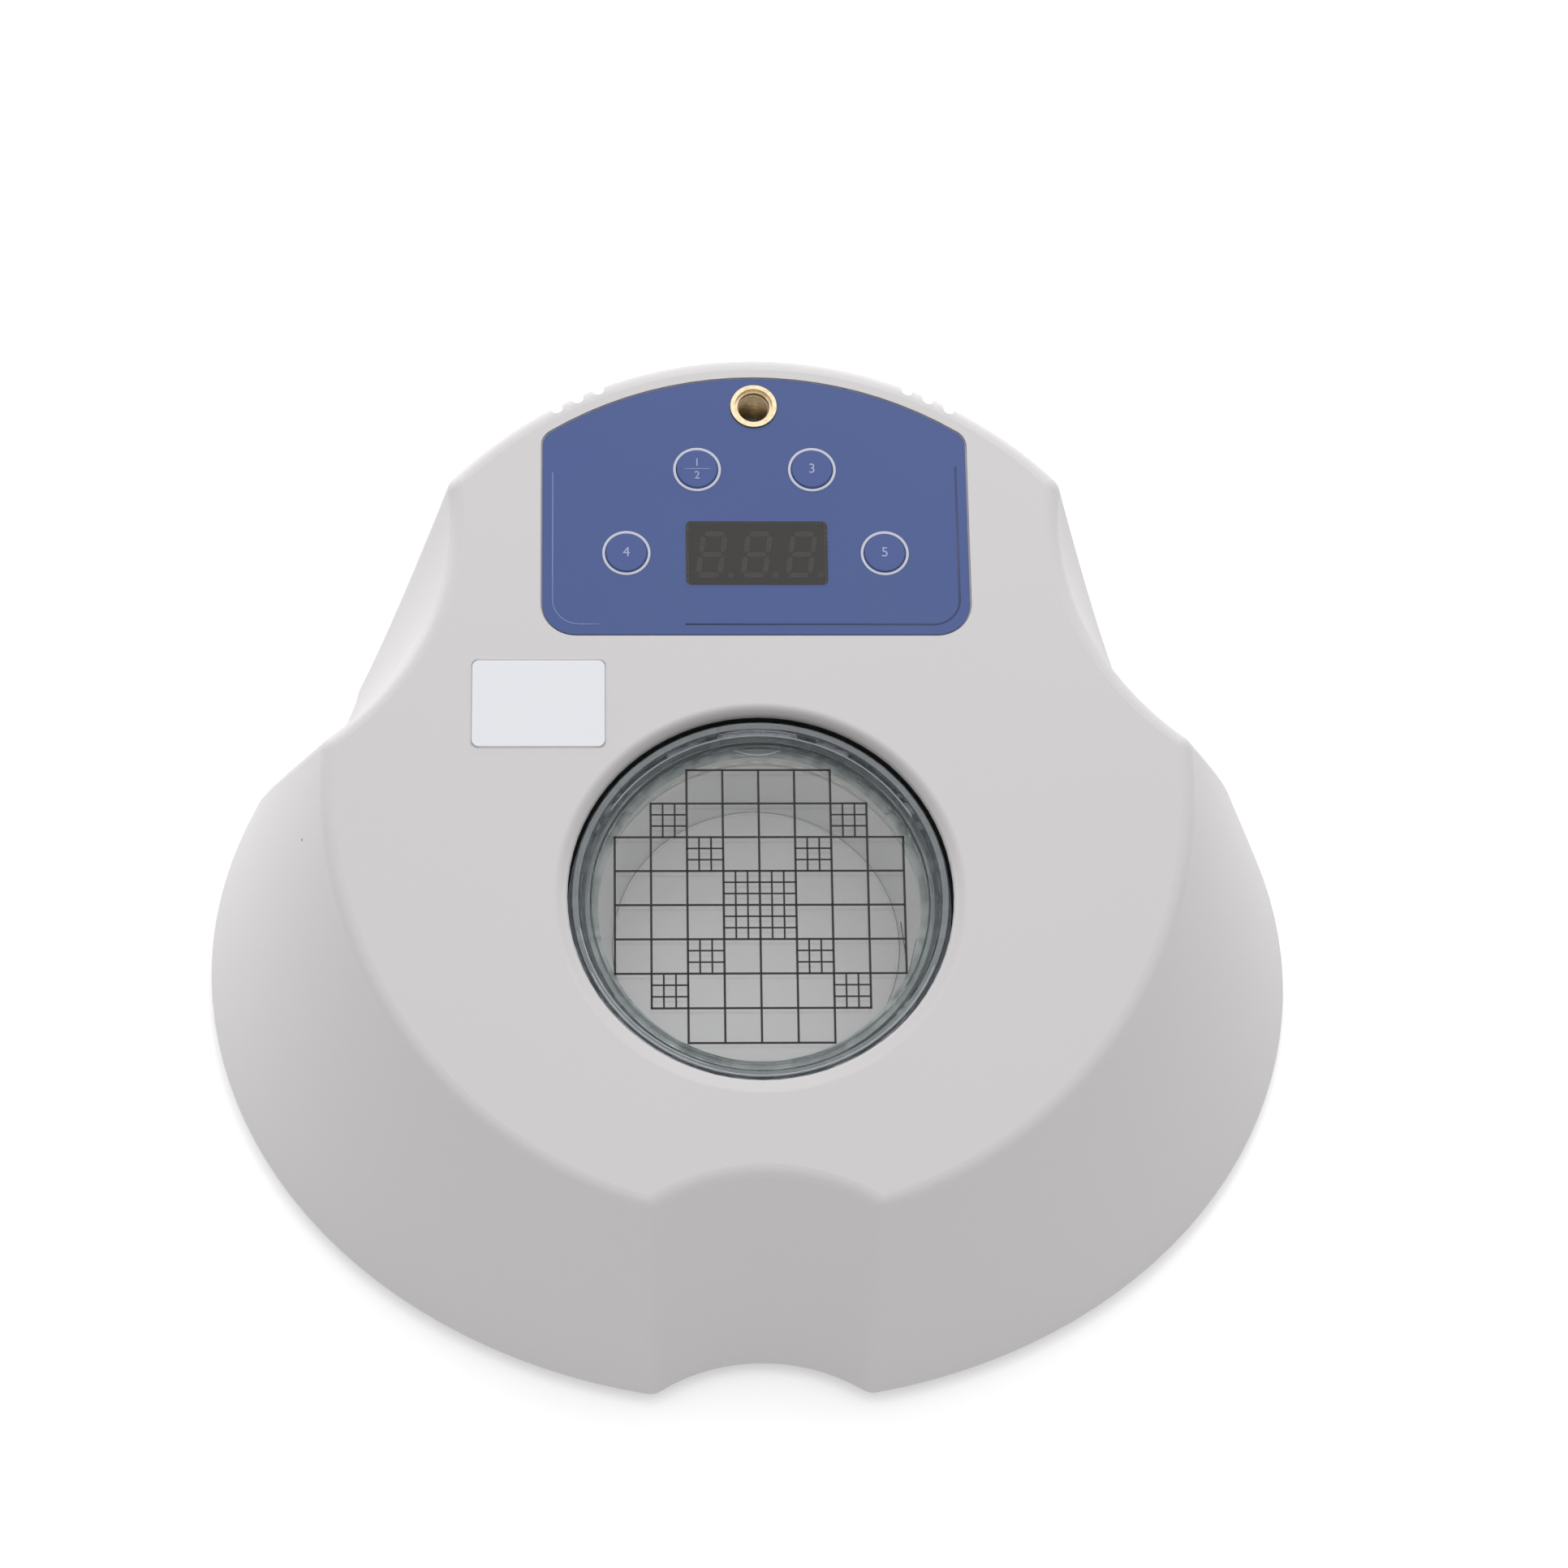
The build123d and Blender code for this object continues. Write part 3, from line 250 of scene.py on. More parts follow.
def soft_lamp(name, round_from_right, height, distance, size, power):
    """A square soft box that looks at the counter; its place is given by two angles in degrees."""
    turn, rise = math.radians(round_from_right), math.radians(height)
    arm = Vector((math.cos(turn) * math.cos(rise), math.sin(turn) * math.cos(rise), math.sin(rise)))
    start_fresh()
    bpy.ops.object.light_add(type="AREA", location=LAMP_TARGET + arm * distance)
    lamp = bpy.context.object
    lamp.name = name
    lamp.data.size = size
    lamp.data.energy = power
    lamp.rotation_euler = arm.to_track_quat("Z", "Y").to_euler()
    print(lamp.name, "of", power, "watts")


soft_lamp("rear_lamp", 76, 56, 1.6, 0.8, 6.2)
soft_lamp("left_lamp", 128, 13, 1.5, 0.8, 7.2)
soft_lamp("right_lamp", 66, 13, 1.5, 0.8, 4.8)

# %% [markdown]
# ## Shared effects
#
# Two effects turn up in many finishes, so each is built once as a node group. *Moulded grain* is the
# fine spark eroded texture that a mould leaves on plastic, with a slow drift in tone on top of it.
# *Fine specks* scatters the odd grain of dust.

# %% Node group: moulded grain
def new_group(name, inputs, outputs):
    """A shader node group with its sockets, its input node and its output node."""
    group = bpy.data.node_groups.new(name, "ShaderNodeTree")
    for label, kind, value in inputs:
        socket = group.interface.new_socket(label, in_out="INPUT", socket_type=kind)
        socket.default_value = value
    for label, kind in outputs:
        group.interface.new_socket(label, in_out="OUTPUT", socket_type=kind)
    return group, group.nodes.new("NodeGroupInput"), group.nodes.new("NodeGroupOutput")


def noise(tree, vector, scale, detail=2.0, roughness=0.5):
    """A noise texture on a vector, at a scale given as a number or a socket."""
    texture = tree.nodes.new("ShaderNodeTexNoise")
    texture.inputs["Detail"].default_value = detail
    texture.inputs["Roughness"].default_value = roughness
    tree.links.new(vector, texture.inputs["Vector"])
    if isinstance(scale, (int, float)):
        texture.inputs["Scale"].default_value = scale
    else:
        tree.links.new(scale, texture.inputs["Scale"])
    return texture.outputs["Fac"]


def ranged(tree, value, low, high, to_low=0.0, to_high=1.0):
    """A value stretched from one span to another; the ends may be numbers or sockets."""
    node = tree.nodes.new("ShaderNodeMapRange")
    tree.links.new(value, node.inputs["Value"])
    ends = {"From Min": low, "From Max": high, "To Min": to_low, "To Max": to_high}
    for label, end in ends.items():
        if isinstance(end, (int, float)):
            node.inputs[label].default_value = end
        else:
            tree.links.new(end, node.inputs[label])
    return node.outputs["Result"]


def mixed(tree, factor, first, second, mode="MIX"):
    """Two colours mixed by a factor; each may be a colour or a socket."""
    node = tree.nodes.new("ShaderNodeMix")
    node.data_type = "RGBA"
    node.blend_type = mode
    for label, value in (("Factor", factor), ("A", first), ("B", second)):
        sockets = [s for s in node.inputs if s.name == label and s.enabled]
        if isinstance(value, (int, float, tuple)):
            sockets[0].default_value = value
        else:
            tree.links.new(value, sockets[0])
    return [s for s in node.outputs if s.enabled][0]


DRIFT_TONE = (0.25, 0.24, 0.22, 1)
grain_group, given, result = new_group(
    "Moulded grain",
    [("Vector", "NodeSocketVector", (0, 0, 0)), ("Scale", "NodeSocketFloat", 1800.0),
     ("Colour", "NodeSocketColor", (0.6, 0.6, 0.6, 1)), ("Drift", "NodeSocketFloat", 0.03),
     ("Roughness", "NodeSocketFloat", 0.45)],
    [("Colour", "NodeSocketColor"), ("Roughness", "NodeSocketFloat"), ("Height", "NodeSocketFloat")],
)
fine = noise(grain_group, given.outputs["Vector"], given.outputs["Scale"], 3.0, 0.6)
broad = noise(grain_group, given.outputs["Vector"], 9.0, 2.0)
patches = ranged(grain_group, broad, 0.3, 0.7)
shade = reckon(grain_group, "MULTIPLY", patches, given.outputs["Drift"])
darker = mixed(grain_group, shade, given.outputs["Colour"], DRIFT_TONE)
grain_group.links.new(darker, result.inputs["Colour"])
spread = reckon(grain_group, "MULTIPLY_ADD", fine, 0.10, given.outputs["Roughness"])
grain_group.links.new(spread, result.inputs["Roughness"])
grain_group.links.new(fine, result.inputs["Height"])

# %% Node group: fine specks
speck_group, given, result = new_group(
    "Fine specks",
    [("Vector", "NodeSocketVector", (0, 0, 0)), ("Scale", "NodeSocketFloat", 60.0),
     ("Size", "NodeSocketFloat", 0.03), ("Share", "NodeSocketFloat", 0.25)],
    [("Mask", "NodeSocketFloat")],
)
cells = speck_group.nodes.new("ShaderNodeTexVoronoi")
speck_group.links.new(given.outputs["Vector"], cells.inputs["Vector"])
speck_group.links.new(given.outputs["Scale"], cells.inputs["Scale"])
near = reckon(speck_group, "LESS_THAN", cells.outputs["Distance"], given.outputs["Size"])
parts = speck_group.nodes.new("ShaderNodeSeparateColor")
speck_group.links.new(cells.outputs["Color"], parts.inputs[0])
some = reckon(speck_group, "LESS_THAN", parts.outputs[0], given.outputs["Share"])
speck_group.links.new(reckon(speck_group, "MULTIPLY", near, some), result.inputs["Mask"])
print("groups:", grain_group.name, "and", speck_group.name)

# %% [markdown]
# ## Finishes
#
# One function makes each moulded finish from its colour, its gloss and the depth of its grain. Only
# the large pale case shows dust, so the other finishes leave it at nothing.

# %% Moulded plastic, film, rubber and lacquer
DUST_TONE = (0.08, 0.07, 0.06, 1)


def use_group(tree, group, **values):
    """A group placed in a material, with its own values."""
    node = tree.nodes.new("ShaderNodeGroup")
    node.node_tree = group
    for label, value in values.items():
        node.inputs[label].default_value = value
    return node


def shader_of(tree, surface, **values):
    """A Principled shader wired to the output, with plain values on its own sockets."""
    shader = tree.nodes.new("ShaderNodeBsdfPrincipled")
    for label, value in values.items():
        shader.inputs[label.replace("_", " ")].default_value = value
    tree.links.new(shader.outputs[0], surface.inputs["Surface"])
    return shader


def bumped(tree, shader, height, strength, distance=0.0002):
    """Wire a height to a shader's normal through a bump."""
    bump = tree.nodes.new("ShaderNodeBump")
    bump.inputs["Strength"].default_value = strength
    bump.inputs["Distance"].default_value = distance
    tree.links.new(height, bump.inputs["Height"])
    tree.links.new(bump.outputs["Normal"], shader.inputs["Normal"])


def moulded(name, colour, roughness=0.45, grain=1800.0, depth=0.12, drift=0.03, dust=0.0, **extra):
    """A moulded or coated surface: colour, grain, slow drift of tone and, where asked, dust."""
    material, tree, surface = new_material(name)
    where = tree.nodes.new("ShaderNodeTexCoord").outputs["Object"]
    grained = use_group(
        tree, grain_group, Scale=grain, Colour=colour, Drift=drift, Roughness=roughness
    )
    tree.links.new(where, grained.inputs["Vector"])
    shader = shader_of(tree, surface, **extra)
    base = grained.outputs["Colour"]
    if dust:
        specks = use_group(tree, speck_group, Scale=55.0, Size=0.028, Share=dust)
        tree.links.new(where, specks.inputs["Vector"])
        base = mixed(tree, specks.outputs["Mask"], base, DUST_TONE)
    tree.links.new(base, shader.inputs["Base Color"])
    tree.links.new(grained.outputs["Roughness"], shader.inputs["Roughness"])
    bumped(tree, shader, grained.outputs["Height"], depth)
    return material


case_white = moulded("case_white", tone(208, 205, 206), 0.46, 2600, 0.05, 0.018, dust=0.045)
base_grey = moulded("base_grey", tone(172, 170, 168), 0.55, 1500, 0.10)
panel_blue = moulded("panel_blue", tone(57, 80, 139), 0.42, 3200, 0.08, 0.05, Coat_Weight=0.05)
key_blue = moulded("key_blue", tone(58, 81, 142), 0.40, 3200, 0.06, 0.05, Coat_Weight=0.05)
ring_silver = moulded("ring_silver", tone(196, 198, 212), 0.35, 2600, 0.04)
label_silver = moulded("label_silver", tone(229, 230, 235), 0.30, 4000, 0.03, Coat_Weight=0.15)
rubber_black = moulded("rubber_black", (0.022, 0.023, 0.022, 1), 0.72, 1400, 0.20)
seal_black = moulded(
    "seal_black", (0.003, 0.004, 0.0035, 1), 0.65, 1400, 0.08, Specular_IOR_Level=0.15
)
switch_black = moulded("switch_black", (0.020, 0.020, 0.021, 1), 0.42, 2200, 0.12)
stage_grey = moulded("stage_grey", tone(186, 192, 190), 0.50, 1800, 0.06)
well_white = moulded("well_white", tone(207, 208, 209), 0.62, 1600, 0.06)
background_grey = moulded("background_grey", tone(216, 216, 217), 0.60, 1600, 0.04)
rear_grey = moulded("rear_grey", (0.09, 0.09, 0.095, 1), 0.45, 2600, 0.16)
board_white = moulded("board_white", tone(168, 170, 172), 0.45, 1500, 0.04)
board_green = moulded("board_green", (0.015, 0.10, 0.045, 1), 0.35, 900, 0.05)
chip_black = moulded("chip_black", (0.012, 0.012, 0.013, 1), 0.50, 1600, 0.10)
cable_grey = moulded("cable_grey", tone(150, 152, 156), 0.50, 1200, 0.05)
display_black = moulded("display_black", (0.030, 0.028, 0.027, 1), 0.60, 1500, 0.05)
print(len(bpy.data.materials), "materials so far")

# %% [markdown]
# Metals share a second recipe. Turned brass carries fine rings from the lathe, but here every metal,
# brass and plated steel alike, only has a faint cloud of handling in its tone and gloss.

# %% Metals
def metal(name, colour, roughness=0.28, cloud=400.0, depth=0.05):
    """A metal with a faint cloud in its gloss."""
    material, tree, surface = new_material(name)
    where = tree.nodes.new("ShaderNodeTexCoord").outputs["Object"]
    patchy = noise(tree, where, cloud, 4.0, 0.6)
    shader = shader_of(tree, surface, Metallic=1.0)
    dull = tuple(c * 0.72 for c in colour[:3]) + (1.0,)
    tree.links.new(mixed(tree, ranged(tree, patchy, 0.35, 0.75), colour, dull), shader.inputs[0])
    gloss = ranged(tree, patchy, 0.3, 0.7, roughness - 0.06, roughness + 0.10)
    tree.links.new(gloss, shader.inputs["Roughness"])
    bumped(tree, shader, noise(tree, where, 2600.0, 2.0), depth)
    return material


brass = metal("brass", (0.84, 0.69, 0.46, 1), 0.42, 700.0, 0.04)
thread_brass = metal("thread_brass", (0.58, 0.45, 0.28, 1), 0.30, 700.0, 0.04)
steel = metal("steel", (0.60, 0.60, 0.62, 1), 0.30)
plated = metal("plated", (0.72, 0.72, 0.74, 1), 0.22)
spring_wire = metal("spring_wire", (0.42, 0.42, 0.44, 1), 0.32)

# %% [markdown]
# ## Clear parts
#
# The centring ring is turned from clear acrylic, and the disc is float glass. Seen edge on, float
# glass is green, so the disc is tinted towards its rim. Both tints are bands over the distance from
# the stage's axis, and the ring's darker bands are painted shade. Light from the lamps and from pale
# surfaces passes straight through, so that the well below is lit. The display window is smoked: it is
# drawn as a dark film that lets a little through, so the unlit digits can just be made out.

# %% Distance from the stage axis
def stage_distance(tree):
    """Millimetres from the stage axis, worked out on Object coordinates."""
    where = tree.nodes.new("ShaderNodeTexCoord").outputs["Object"]
    offset = tree.nodes.new("ShaderNodeVectorMath")
    offset.operation = "SUBTRACT"
    offset.inputs[1].default_value = stage_centre
    tree.links.new(where, offset.inputs[0])
    across = tree.nodes.new("ShaderNodeVectorMath")
    across.operation = "CROSS_PRODUCT"
    across.inputs[1].default_value = out
    tree.links.new(offset.outputs["Vector"], across.inputs[0])
    length = tree.nodes.new("ShaderNodeVectorMath")
    length.operation = "LENGTH"
    tree.links.new(across.outputs["Vector"], length.inputs[0])
    return where, reckon(tree, "DIVIDE", length.outputs["Value"], MM)


# %% Glass, acrylic and smoked film
def let_lamps_through(tree, surface, shader, tint):
    """Rays from lamps and soft light pass a clear part, so that they light what lies under it."""
    rays = tree.nodes.new("ShaderNodeLightPath").outputs
    either = reckon(tree, "MAXIMUM", rays["Is Shadow Ray"], rays["Is Diffuse Ray"])
    passing = tree.nodes.new("ShaderNodeBsdfTransparent")
    passing.inputs["Color"].default_value = tint
    mix = tree.nodes.new("ShaderNodeMixShader")
    tree.links.new(either, mix.inputs[0])
    tree.links.new(shader.outputs[0], mix.inputs[1])
    tree.links.new(passing.outputs[0], mix.inputs[2])
    tree.links.new(mix.outputs[0], surface.inputs["Surface"])


def clear(name, bands, roughness, ior):
    """A clear stage part, tinted in bands: each is a radius in millimetres and a colour."""
    material, tree, surface = new_material(name)
    where, radius = stage_distance(tree)
    shader = shader_of(tree, surface, IOR=ior, Transmission_Weight=1.0)
    inner, outer = bands[0][0], bands[-1][0]
    ramp = tree.nodes.new("ShaderNodeValToRGB")
    while len(ramp.color_ramp.elements) < len(bands):
        ramp.color_ramp.elements.new(0.5)
    for element, (at, colour) in zip(ramp.color_ramp.elements, bands):
        element.position = (at - inner) / (outer - inner)
        element.color = colour
    tree.links.new(ranged(tree, radius, inner, outer), ramp.inputs[0])
    tree.links.new(ramp.outputs["Color"], shader.inputs["Base Color"])
    smears = noise(tree, where, 60.0, 3.0, 0.6)
    tree.links.new(
        ranged(tree, smears, 0.4, 0.8, roughness, roughness + 0.06), shader.inputs["Roughness"]
    )
    let_lamps_through(tree, surface, shader, bands[0][1])
    return material


disc_glass = clear(
    "disc_glass", [(43.0, (0.97, 0.972, 0.975, 1)), (47.0, (0.88, 0.94, 0.92, 1))], 0.0, 1.50
)
RING_CLEAR = (0.94, 0.965, 0.965, 1)
# Painted shade: the darker bands of the ring's tint stand for shade at its bore wall, riser and outer
# edge.
RING_PAINTED_SHADE = (0.55, 0.58, 0.64, 1)
ring_acrylic = clear(
    "ring_acrylic",
    [(46.3, (0.44, 0.455, 0.50, 1)), (46.7, (0.48, 0.50, 0.54, 1)), (47.0, RING_CLEAR),
     (48.9, RING_CLEAR), (49.1, RING_PAINTED_SHADE), (49.4, RING_PAINTED_SHADE), (49.6, RING_CLEAR),
     (50.7, (0.84, 0.87, 0.88, 1)), (51.0, (0.72, 0.76, 0.78, 1)), (51.2, RING_CLEAR),
     (51.8, RING_CLEAR), (52.1, (0.60, 0.64, 0.66, 1))],
    0.03, 1.45,
)


def smoked_film():
    """A dark satin window that lets a little through."""
    material, tree, surface = new_material("smoked_window")
    where = tree.nodes.new("ShaderNodeTexCoord").outputs["Object"]
    shader = shader_of(tree, surface, Roughness=0.34, Alpha=0.62, Base_Color=(0.045, 0.042, 0.040, 1))
    bumped(tree, shader, noise(tree, where, 2600.0, 2.0), 0.05)
    return material


def resin(name, colour, glow=0.0):
    """A resin with a cloudy tone; the lamps glow a little."""
    material, tree, surface = new_material(name)
    where = tree.nodes.new("ShaderNodeTexCoord").outputs["Object"]
    shader = shader_of(
        tree, surface, Roughness=0.35, Emission_Strength=glow, Emission_Color=colour
    )
    cloudy = noise(tree, where, 500.0, 2.0)
    pale = tuple(min(c * 1.25, 1.0) for c in colour[:3]) + (1.0,)
    tree.links.new(mixed(tree, cloudy, colour, pale), shader.inputs["Base Color"])
    return material


smoked = smoked_film()
segment_resin = resin("segment_resin", (0.78, 0.60, 0.50, 1))
lamp_resin = resin("lamp_resin", (0.95, 0.80, 0.60, 1), 1.2)

# %% [markdown]
# The edge of the stage hole is rounder than its facets show. A bump whose height falls away towards
# the hole, over the last four millimetres, turns the shading normals inward as a soft edge does. The
# rear of that edge faces down into the dark gap round the ring, so a painted shade darkens it there.

# %% A softer edge and painted shade round the stage hole
ROLL_INNER, ROLL_OUTER = 52.6, 57.0
ROLL_DEPTH = 0.0012  # metres
# The values below set a painted shade round the rear of the hole: the radii over which it fades, its
# colour, how far up the slope it reaches and how deep it goes.
SHADE_INNER, SHADE_OUTER = 53.2, 57.4
PAINTED_SHADE_TONE = tone(60, 57, 56)
SHADE_REACH = 0.052  # metres up the slope from the stage axis to the deepest tone
SHADE_SHARE = 0.62


def soften_and_shade_hole(material):
    """Let the surface roll over towards the stage hole, with a painted shade at its rear."""
    tree = material.node_tree
    where, radius = stage_distance(tree)
    fall = ranged(tree, radius, ROLL_INNER, ROLL_OUTER)
    fall.node.interpolation_type = "SMOOTHSTEP"
    roll = tree.nodes.new("ShaderNodeBump")
    roll.inputs["Strength"].default_value = 1.0
    roll.inputs["Distance"].default_value = ROLL_DEPTH
    tree.links.new(fall, roll.inputs["Height"])
    grain = next(n for n in tree.nodes if n.type == "BUMP" and n != roll)
    tree.links.new(roll.outputs["Normal"], grain.inputs["Normal"])
    climb = tree.nodes.new("ShaderNodeVectorMath")
    climb.operation = "DOT_PRODUCT"
    climb.inputs[1].default_value = upslope
    tree.links.new(where, climb.inputs[0])
    level = stage_centre.dot(upslope)
    rear = ranged(tree, climb.outputs["Value"], level, level + SHADE_REACH, 0.0, SHADE_SHARE)
    near = ranged(tree, radius, SHADE_INNER, SHADE_OUTER, 1.0, 0.0)
    near.node.interpolation_type = "SMOOTHSTEP"
    # Painted shade: the base colour darkens near the rear of the hole.
    painted_shade = reckon(tree, "MULTIPLY", rear, near)
    shader = next(n for n in tree.nodes if n.type == "BSDF_PRINCIPLED")
    plain = shader.inputs["Base Color"].links[0].from_socket
    shaded_colour = mixed(tree, painted_shade, plain, PAINTED_SHADE_TONE)
    tree.links.new(shaded_colour, shader.inputs["Base Color"])


soften_and_shade_hole(case_white)

# %% [markdown]
# ## Give every ready made piece its finish
#
# A small table says which finish each piece takes. Assigning a material changes nothing else.

# %% Assign finishes
finishes = {
    case_white: ["upper_case"],
    base_grey: ["base_plate"],
    rubber_black: ["feet"],
    panel_blue: ["control_overlay"],
    key_blue: ["key_upper_left", "key_upper_right", "key_lower_left", "key_lower_right"],
    ring_silver: ["key_bezels"],
    smoked: ["display_window"],
    display_black: ["display_module"],
    segment_resin: ["display_segments"],
    brass: ["arm_socket"],
    label_silver: ["label_plate"],
    seal_black: ["stage_seal"],
    ring_acrylic: ["centring_ring"],
    disc_glass: ["graticule_disc"],
    stage_grey: ["stage_ring"],
    well_white: ["light_well"],
    background_grey: ["background_disc"],
    lamp_resin: ["leds"],
    board_white: ["led_board"],
    board_green: ["control_board", "main_board"],
    chip_black: ["key_switches", "board_components", "buzzer", "cable_headers", "pressure_sensor"],
    cable_grey: ["ribbon_cable"],
    spring_wire: ["stage_springs"],
    rear_grey: ["rear_panel"],
    switch_black: ["power_switch", "power_rocker", "sensitivity_knob", "power_inlet"],
    plated: ["serial_port", "sensitivity_control"],
    steel: ["base_screws", "control_board_screws", "guide_screws", "guide_nuts",
            "light_well_screws", "rear_panel_screws", "serial_jackscrews", "power_inlet_nut",
            "main_board_screws"],
}
for material, nodes in finishes.items():
    for node in nodes:
        mesh = frame["nodes"][node].data
        mesh.materials.clear()
        mesh.materials.append(material)
print("finished", sum(len(nodes) for nodes in finishes.values()), "of", len(frame["nodes"]))

# %% [markdown]
# ## The counting grid
#
# A counting disc is printed with ten millimetre squares, eight across, with its corners stepped to
# suit a round dish. Some squares are divided in nine for crowded plates. The print is a film of ink
# on the upper face of the glass, so it is made from thin bars a few hundredths thick: one bar is
# modelled, and the rest are copies of the same shape at other lengths.

# %% Ink bars
SQUARE = 10.0
LINE = 0.62
FINE_LINE = 0.50
INK = 0.03
FIELD = {1: (3, 6), 2: (2, 7), 3: (1, 8), 4: (1, 8), 5: (1, 8), 6: (1, 8), 7: (2, 7), 8: (3, 6)}
DIVIDED = {(2, 2), (2, 7), (7, 2), (7, 7), (3, 3), (3, 6), (6, 3), (6, 6)}
DIVIDED |= {(row, column) for row in (4, 5) for column in (4, 5)}


def ink_bar(x0, y0, x1, y1, width):
    """One straight bar of ink between two points, in millimetres."""
    start_fresh()
    bpy.ops.mesh.primitive_cube_add(size=1, location=((x0 + x1) / 2 * MM, (y0 + y1) / 2 * MM, 0))
    bar = bpy.context.object
    along = (x1 - x0 + width, width) if y0 == y1 else (width, y1 - y0 + width)
    bar.scale = (along[0] * MM, along[1] * MM, INK * MM)
    return bar


def in_field(row, column):
    """Whether a square belongs to the grid."""
    return row in FIELD and FIELD[row][0] <= column <= FIELD[row][1]


def grid_edge(number):
    """Where the edge after a row or column lies, in millimetres from the centre."""
    return (number - 4) * SQUARE


# %% Draw the grid
bars = []
for edge in range(9):
    across = [c for c in range(1, 9) if in_field(edge, c) or in_field(edge + 1, c)]
    x0, x1 = grid_edge(across[0] - 1), grid_edge(across[-1])
    bars.append(ink_bar(x0, -grid_edge(edge), x1, -grid_edge(edge), LINE))
    down = [r for r in range(1, 9) if in_field(r, edge) or in_field(r, edge + 1)]
    y0, y1 = -grid_edge(down[-1]), -grid_edge(down[0] - 1)
    bars.append(ink_bar(grid_edge(edge), y0, grid_edge(edge), y1, LINE))
for row, column in sorted(DIVIDED):
    x0, y0 = grid_edge(column - 1), -grid_edge(row)
    for third in (SQUARE / 3, 2 * SQUARE / 3):
        bars.append(ink_bar(x0, y0 + third, x0 + SQUARE, y0 + third, FINE_LINE))
        bars.append(ink_bar(x0 + third, y0, x0 + third, y0 + SQUARE, FINE_LINE))
ink_black = moulded("ink_black", (0.012, 0.009, 0.010, 1), 0.5, 2000, 0.04)
grid_print = join(bars)
finish_piece(
    grid_print, "grid_print", "graticule_disc", ink_black, on_deck(w=-GLASS_DEPTH + INK / 2)
)

# %% [markdown]
# ## Lines on the control panel
#
# The panel film has a thin dark line that runs along its lower edge and turns up its right side, and
# a pale one on the left. A line that follows a corner is easiest as a curve with a little thickness,
# pressed flat: the round corner is a handful of points on an arc.

# %% Flat printed lines
PANEL_HALF, PANEL_LOW = 57.3, 81.0
LINE_CORNER = 7.5
DARK_START, DARK_TOP, DARK_WIDTH = -20.0, 130.0, 0.55
PALE_START, PALE_TOP, PALE_WIDTH = -44.0, 128.0, 0.40
PRINT = 0.02
PANEL_FACE = -0.2  # the overlay's face, under the deck


def corner(x, y, radius, start, steps=8):
    """Points round a quarter turn about x, y from a start angle in degrees."""
    angles = [math.radians(start + 90 * k / steps) for k in range(steps + 1)]
    return [(x + radius * math.cos(a), y + radius * math.sin(a)) for a in angles]


def flat_line(points, width, closed=False):
    """A flat printed line through points in millimetres."""
    curve = bpy.data.curves.new("line", "CURVE")
    curve.dimensions = "3D"
    curve.bevel_depth = width / 2 * MM
    curve.bevel_resolution = 1
    curve.use_fill_caps = True
    spline = curve.splines.new("POLY")
    spline.points.add(len(points) - 1)
    spline.use_cyclic_u = closed
    for point, (x, y) in zip(spline.points, points):
        point.co = (x * MM, y * MM, 0, 1)
    line = bpy.data.objects.new("line", curve)
    bpy.context.collection.objects.link(line)
    only(line)
    bpy.ops.object.convert(target="MESH")
    line.scale = (1, 1, 2 * PRINT / width)
    return line


# %% Dark line and pale line
line_navy = moulded("line_navy", tone(44, 58, 96), 0.45, 2600, 0.04)
line_pale = moulded("line_pale", tone(104, 124, 176), 0.45, 2600, 0.04)
dark_points = [(DARK_START, PANEL_LOW)]
dark_points += corner(PANEL_HALF - LINE_CORNER, PANEL_LOW + LINE_CORNER, LINE_CORNER, 270)
dark_points += [(PANEL_HALF, DARK_TOP)]
dark_line = flat_line(dark_points, DARK_WIDTH)
finish_piece(dark_line, "panel_line_dark", "root", line_navy, on_deck(w=PANEL_FACE + PRINT))
pale_points = [(-PANEL_HALF, PALE_TOP)]
pale_points += corner(-PANEL_HALF + LINE_CORNER, PANEL_LOW + LINE_CORNER, LINE_CORNER, 180)
pale_points += [(PALE_START, PANEL_LOW)]
pale_line = flat_line(pale_points, PALE_WIDTH)
finish_piece(pale_line, "panel_line_pale", "root", line_pale, on_deck(w=PANEL_FACE + PRINT))

# %% [markdown]
# ## The window's edge and the blank label
#
# Two more thin lines are closed loops. The display window is masked by the panel film, so its
# corners are round, with a thin brown edge. The label is a blank plate with a fine border.

# %% Closed loops
def rounded_loop(x, y, half_width, half_height, radius):
    """Points round a rectangle with round corners."""
    points = []
    for side_x, side_y, start in ((1, -1, 270), (1, 1, 0), (-1, 1, 90), (-1, -1, 180)):
        points += corner(
            x + side_x * (half_width - radius), y + side_y * (half_height - radius), radius, start
        )
    return points


def deck_level(node):
    """How far a node reaches out of the deck, in millimetres."""
    return max((v.co - stage_centre).dot(out) for v in frame["nodes"][node].data.vertices) / MM


def deck_span(node):
    """The middle of a node in the deck's own x and y, half its width and half its length."""
    corners = [v.co - stage_centre for v in frame["nodes"][node].data.vertices]
    across = [c.dot(right) / MM for c in corners]
    along = [c.dot(upslope) / MM for c in corners]
    return (
        (min(across) + max(across)) / 2, (min(along) + max(along)) / 2,
        (max(across) - min(across)) / 2, (max(along) - min(along)) / 2,
    )


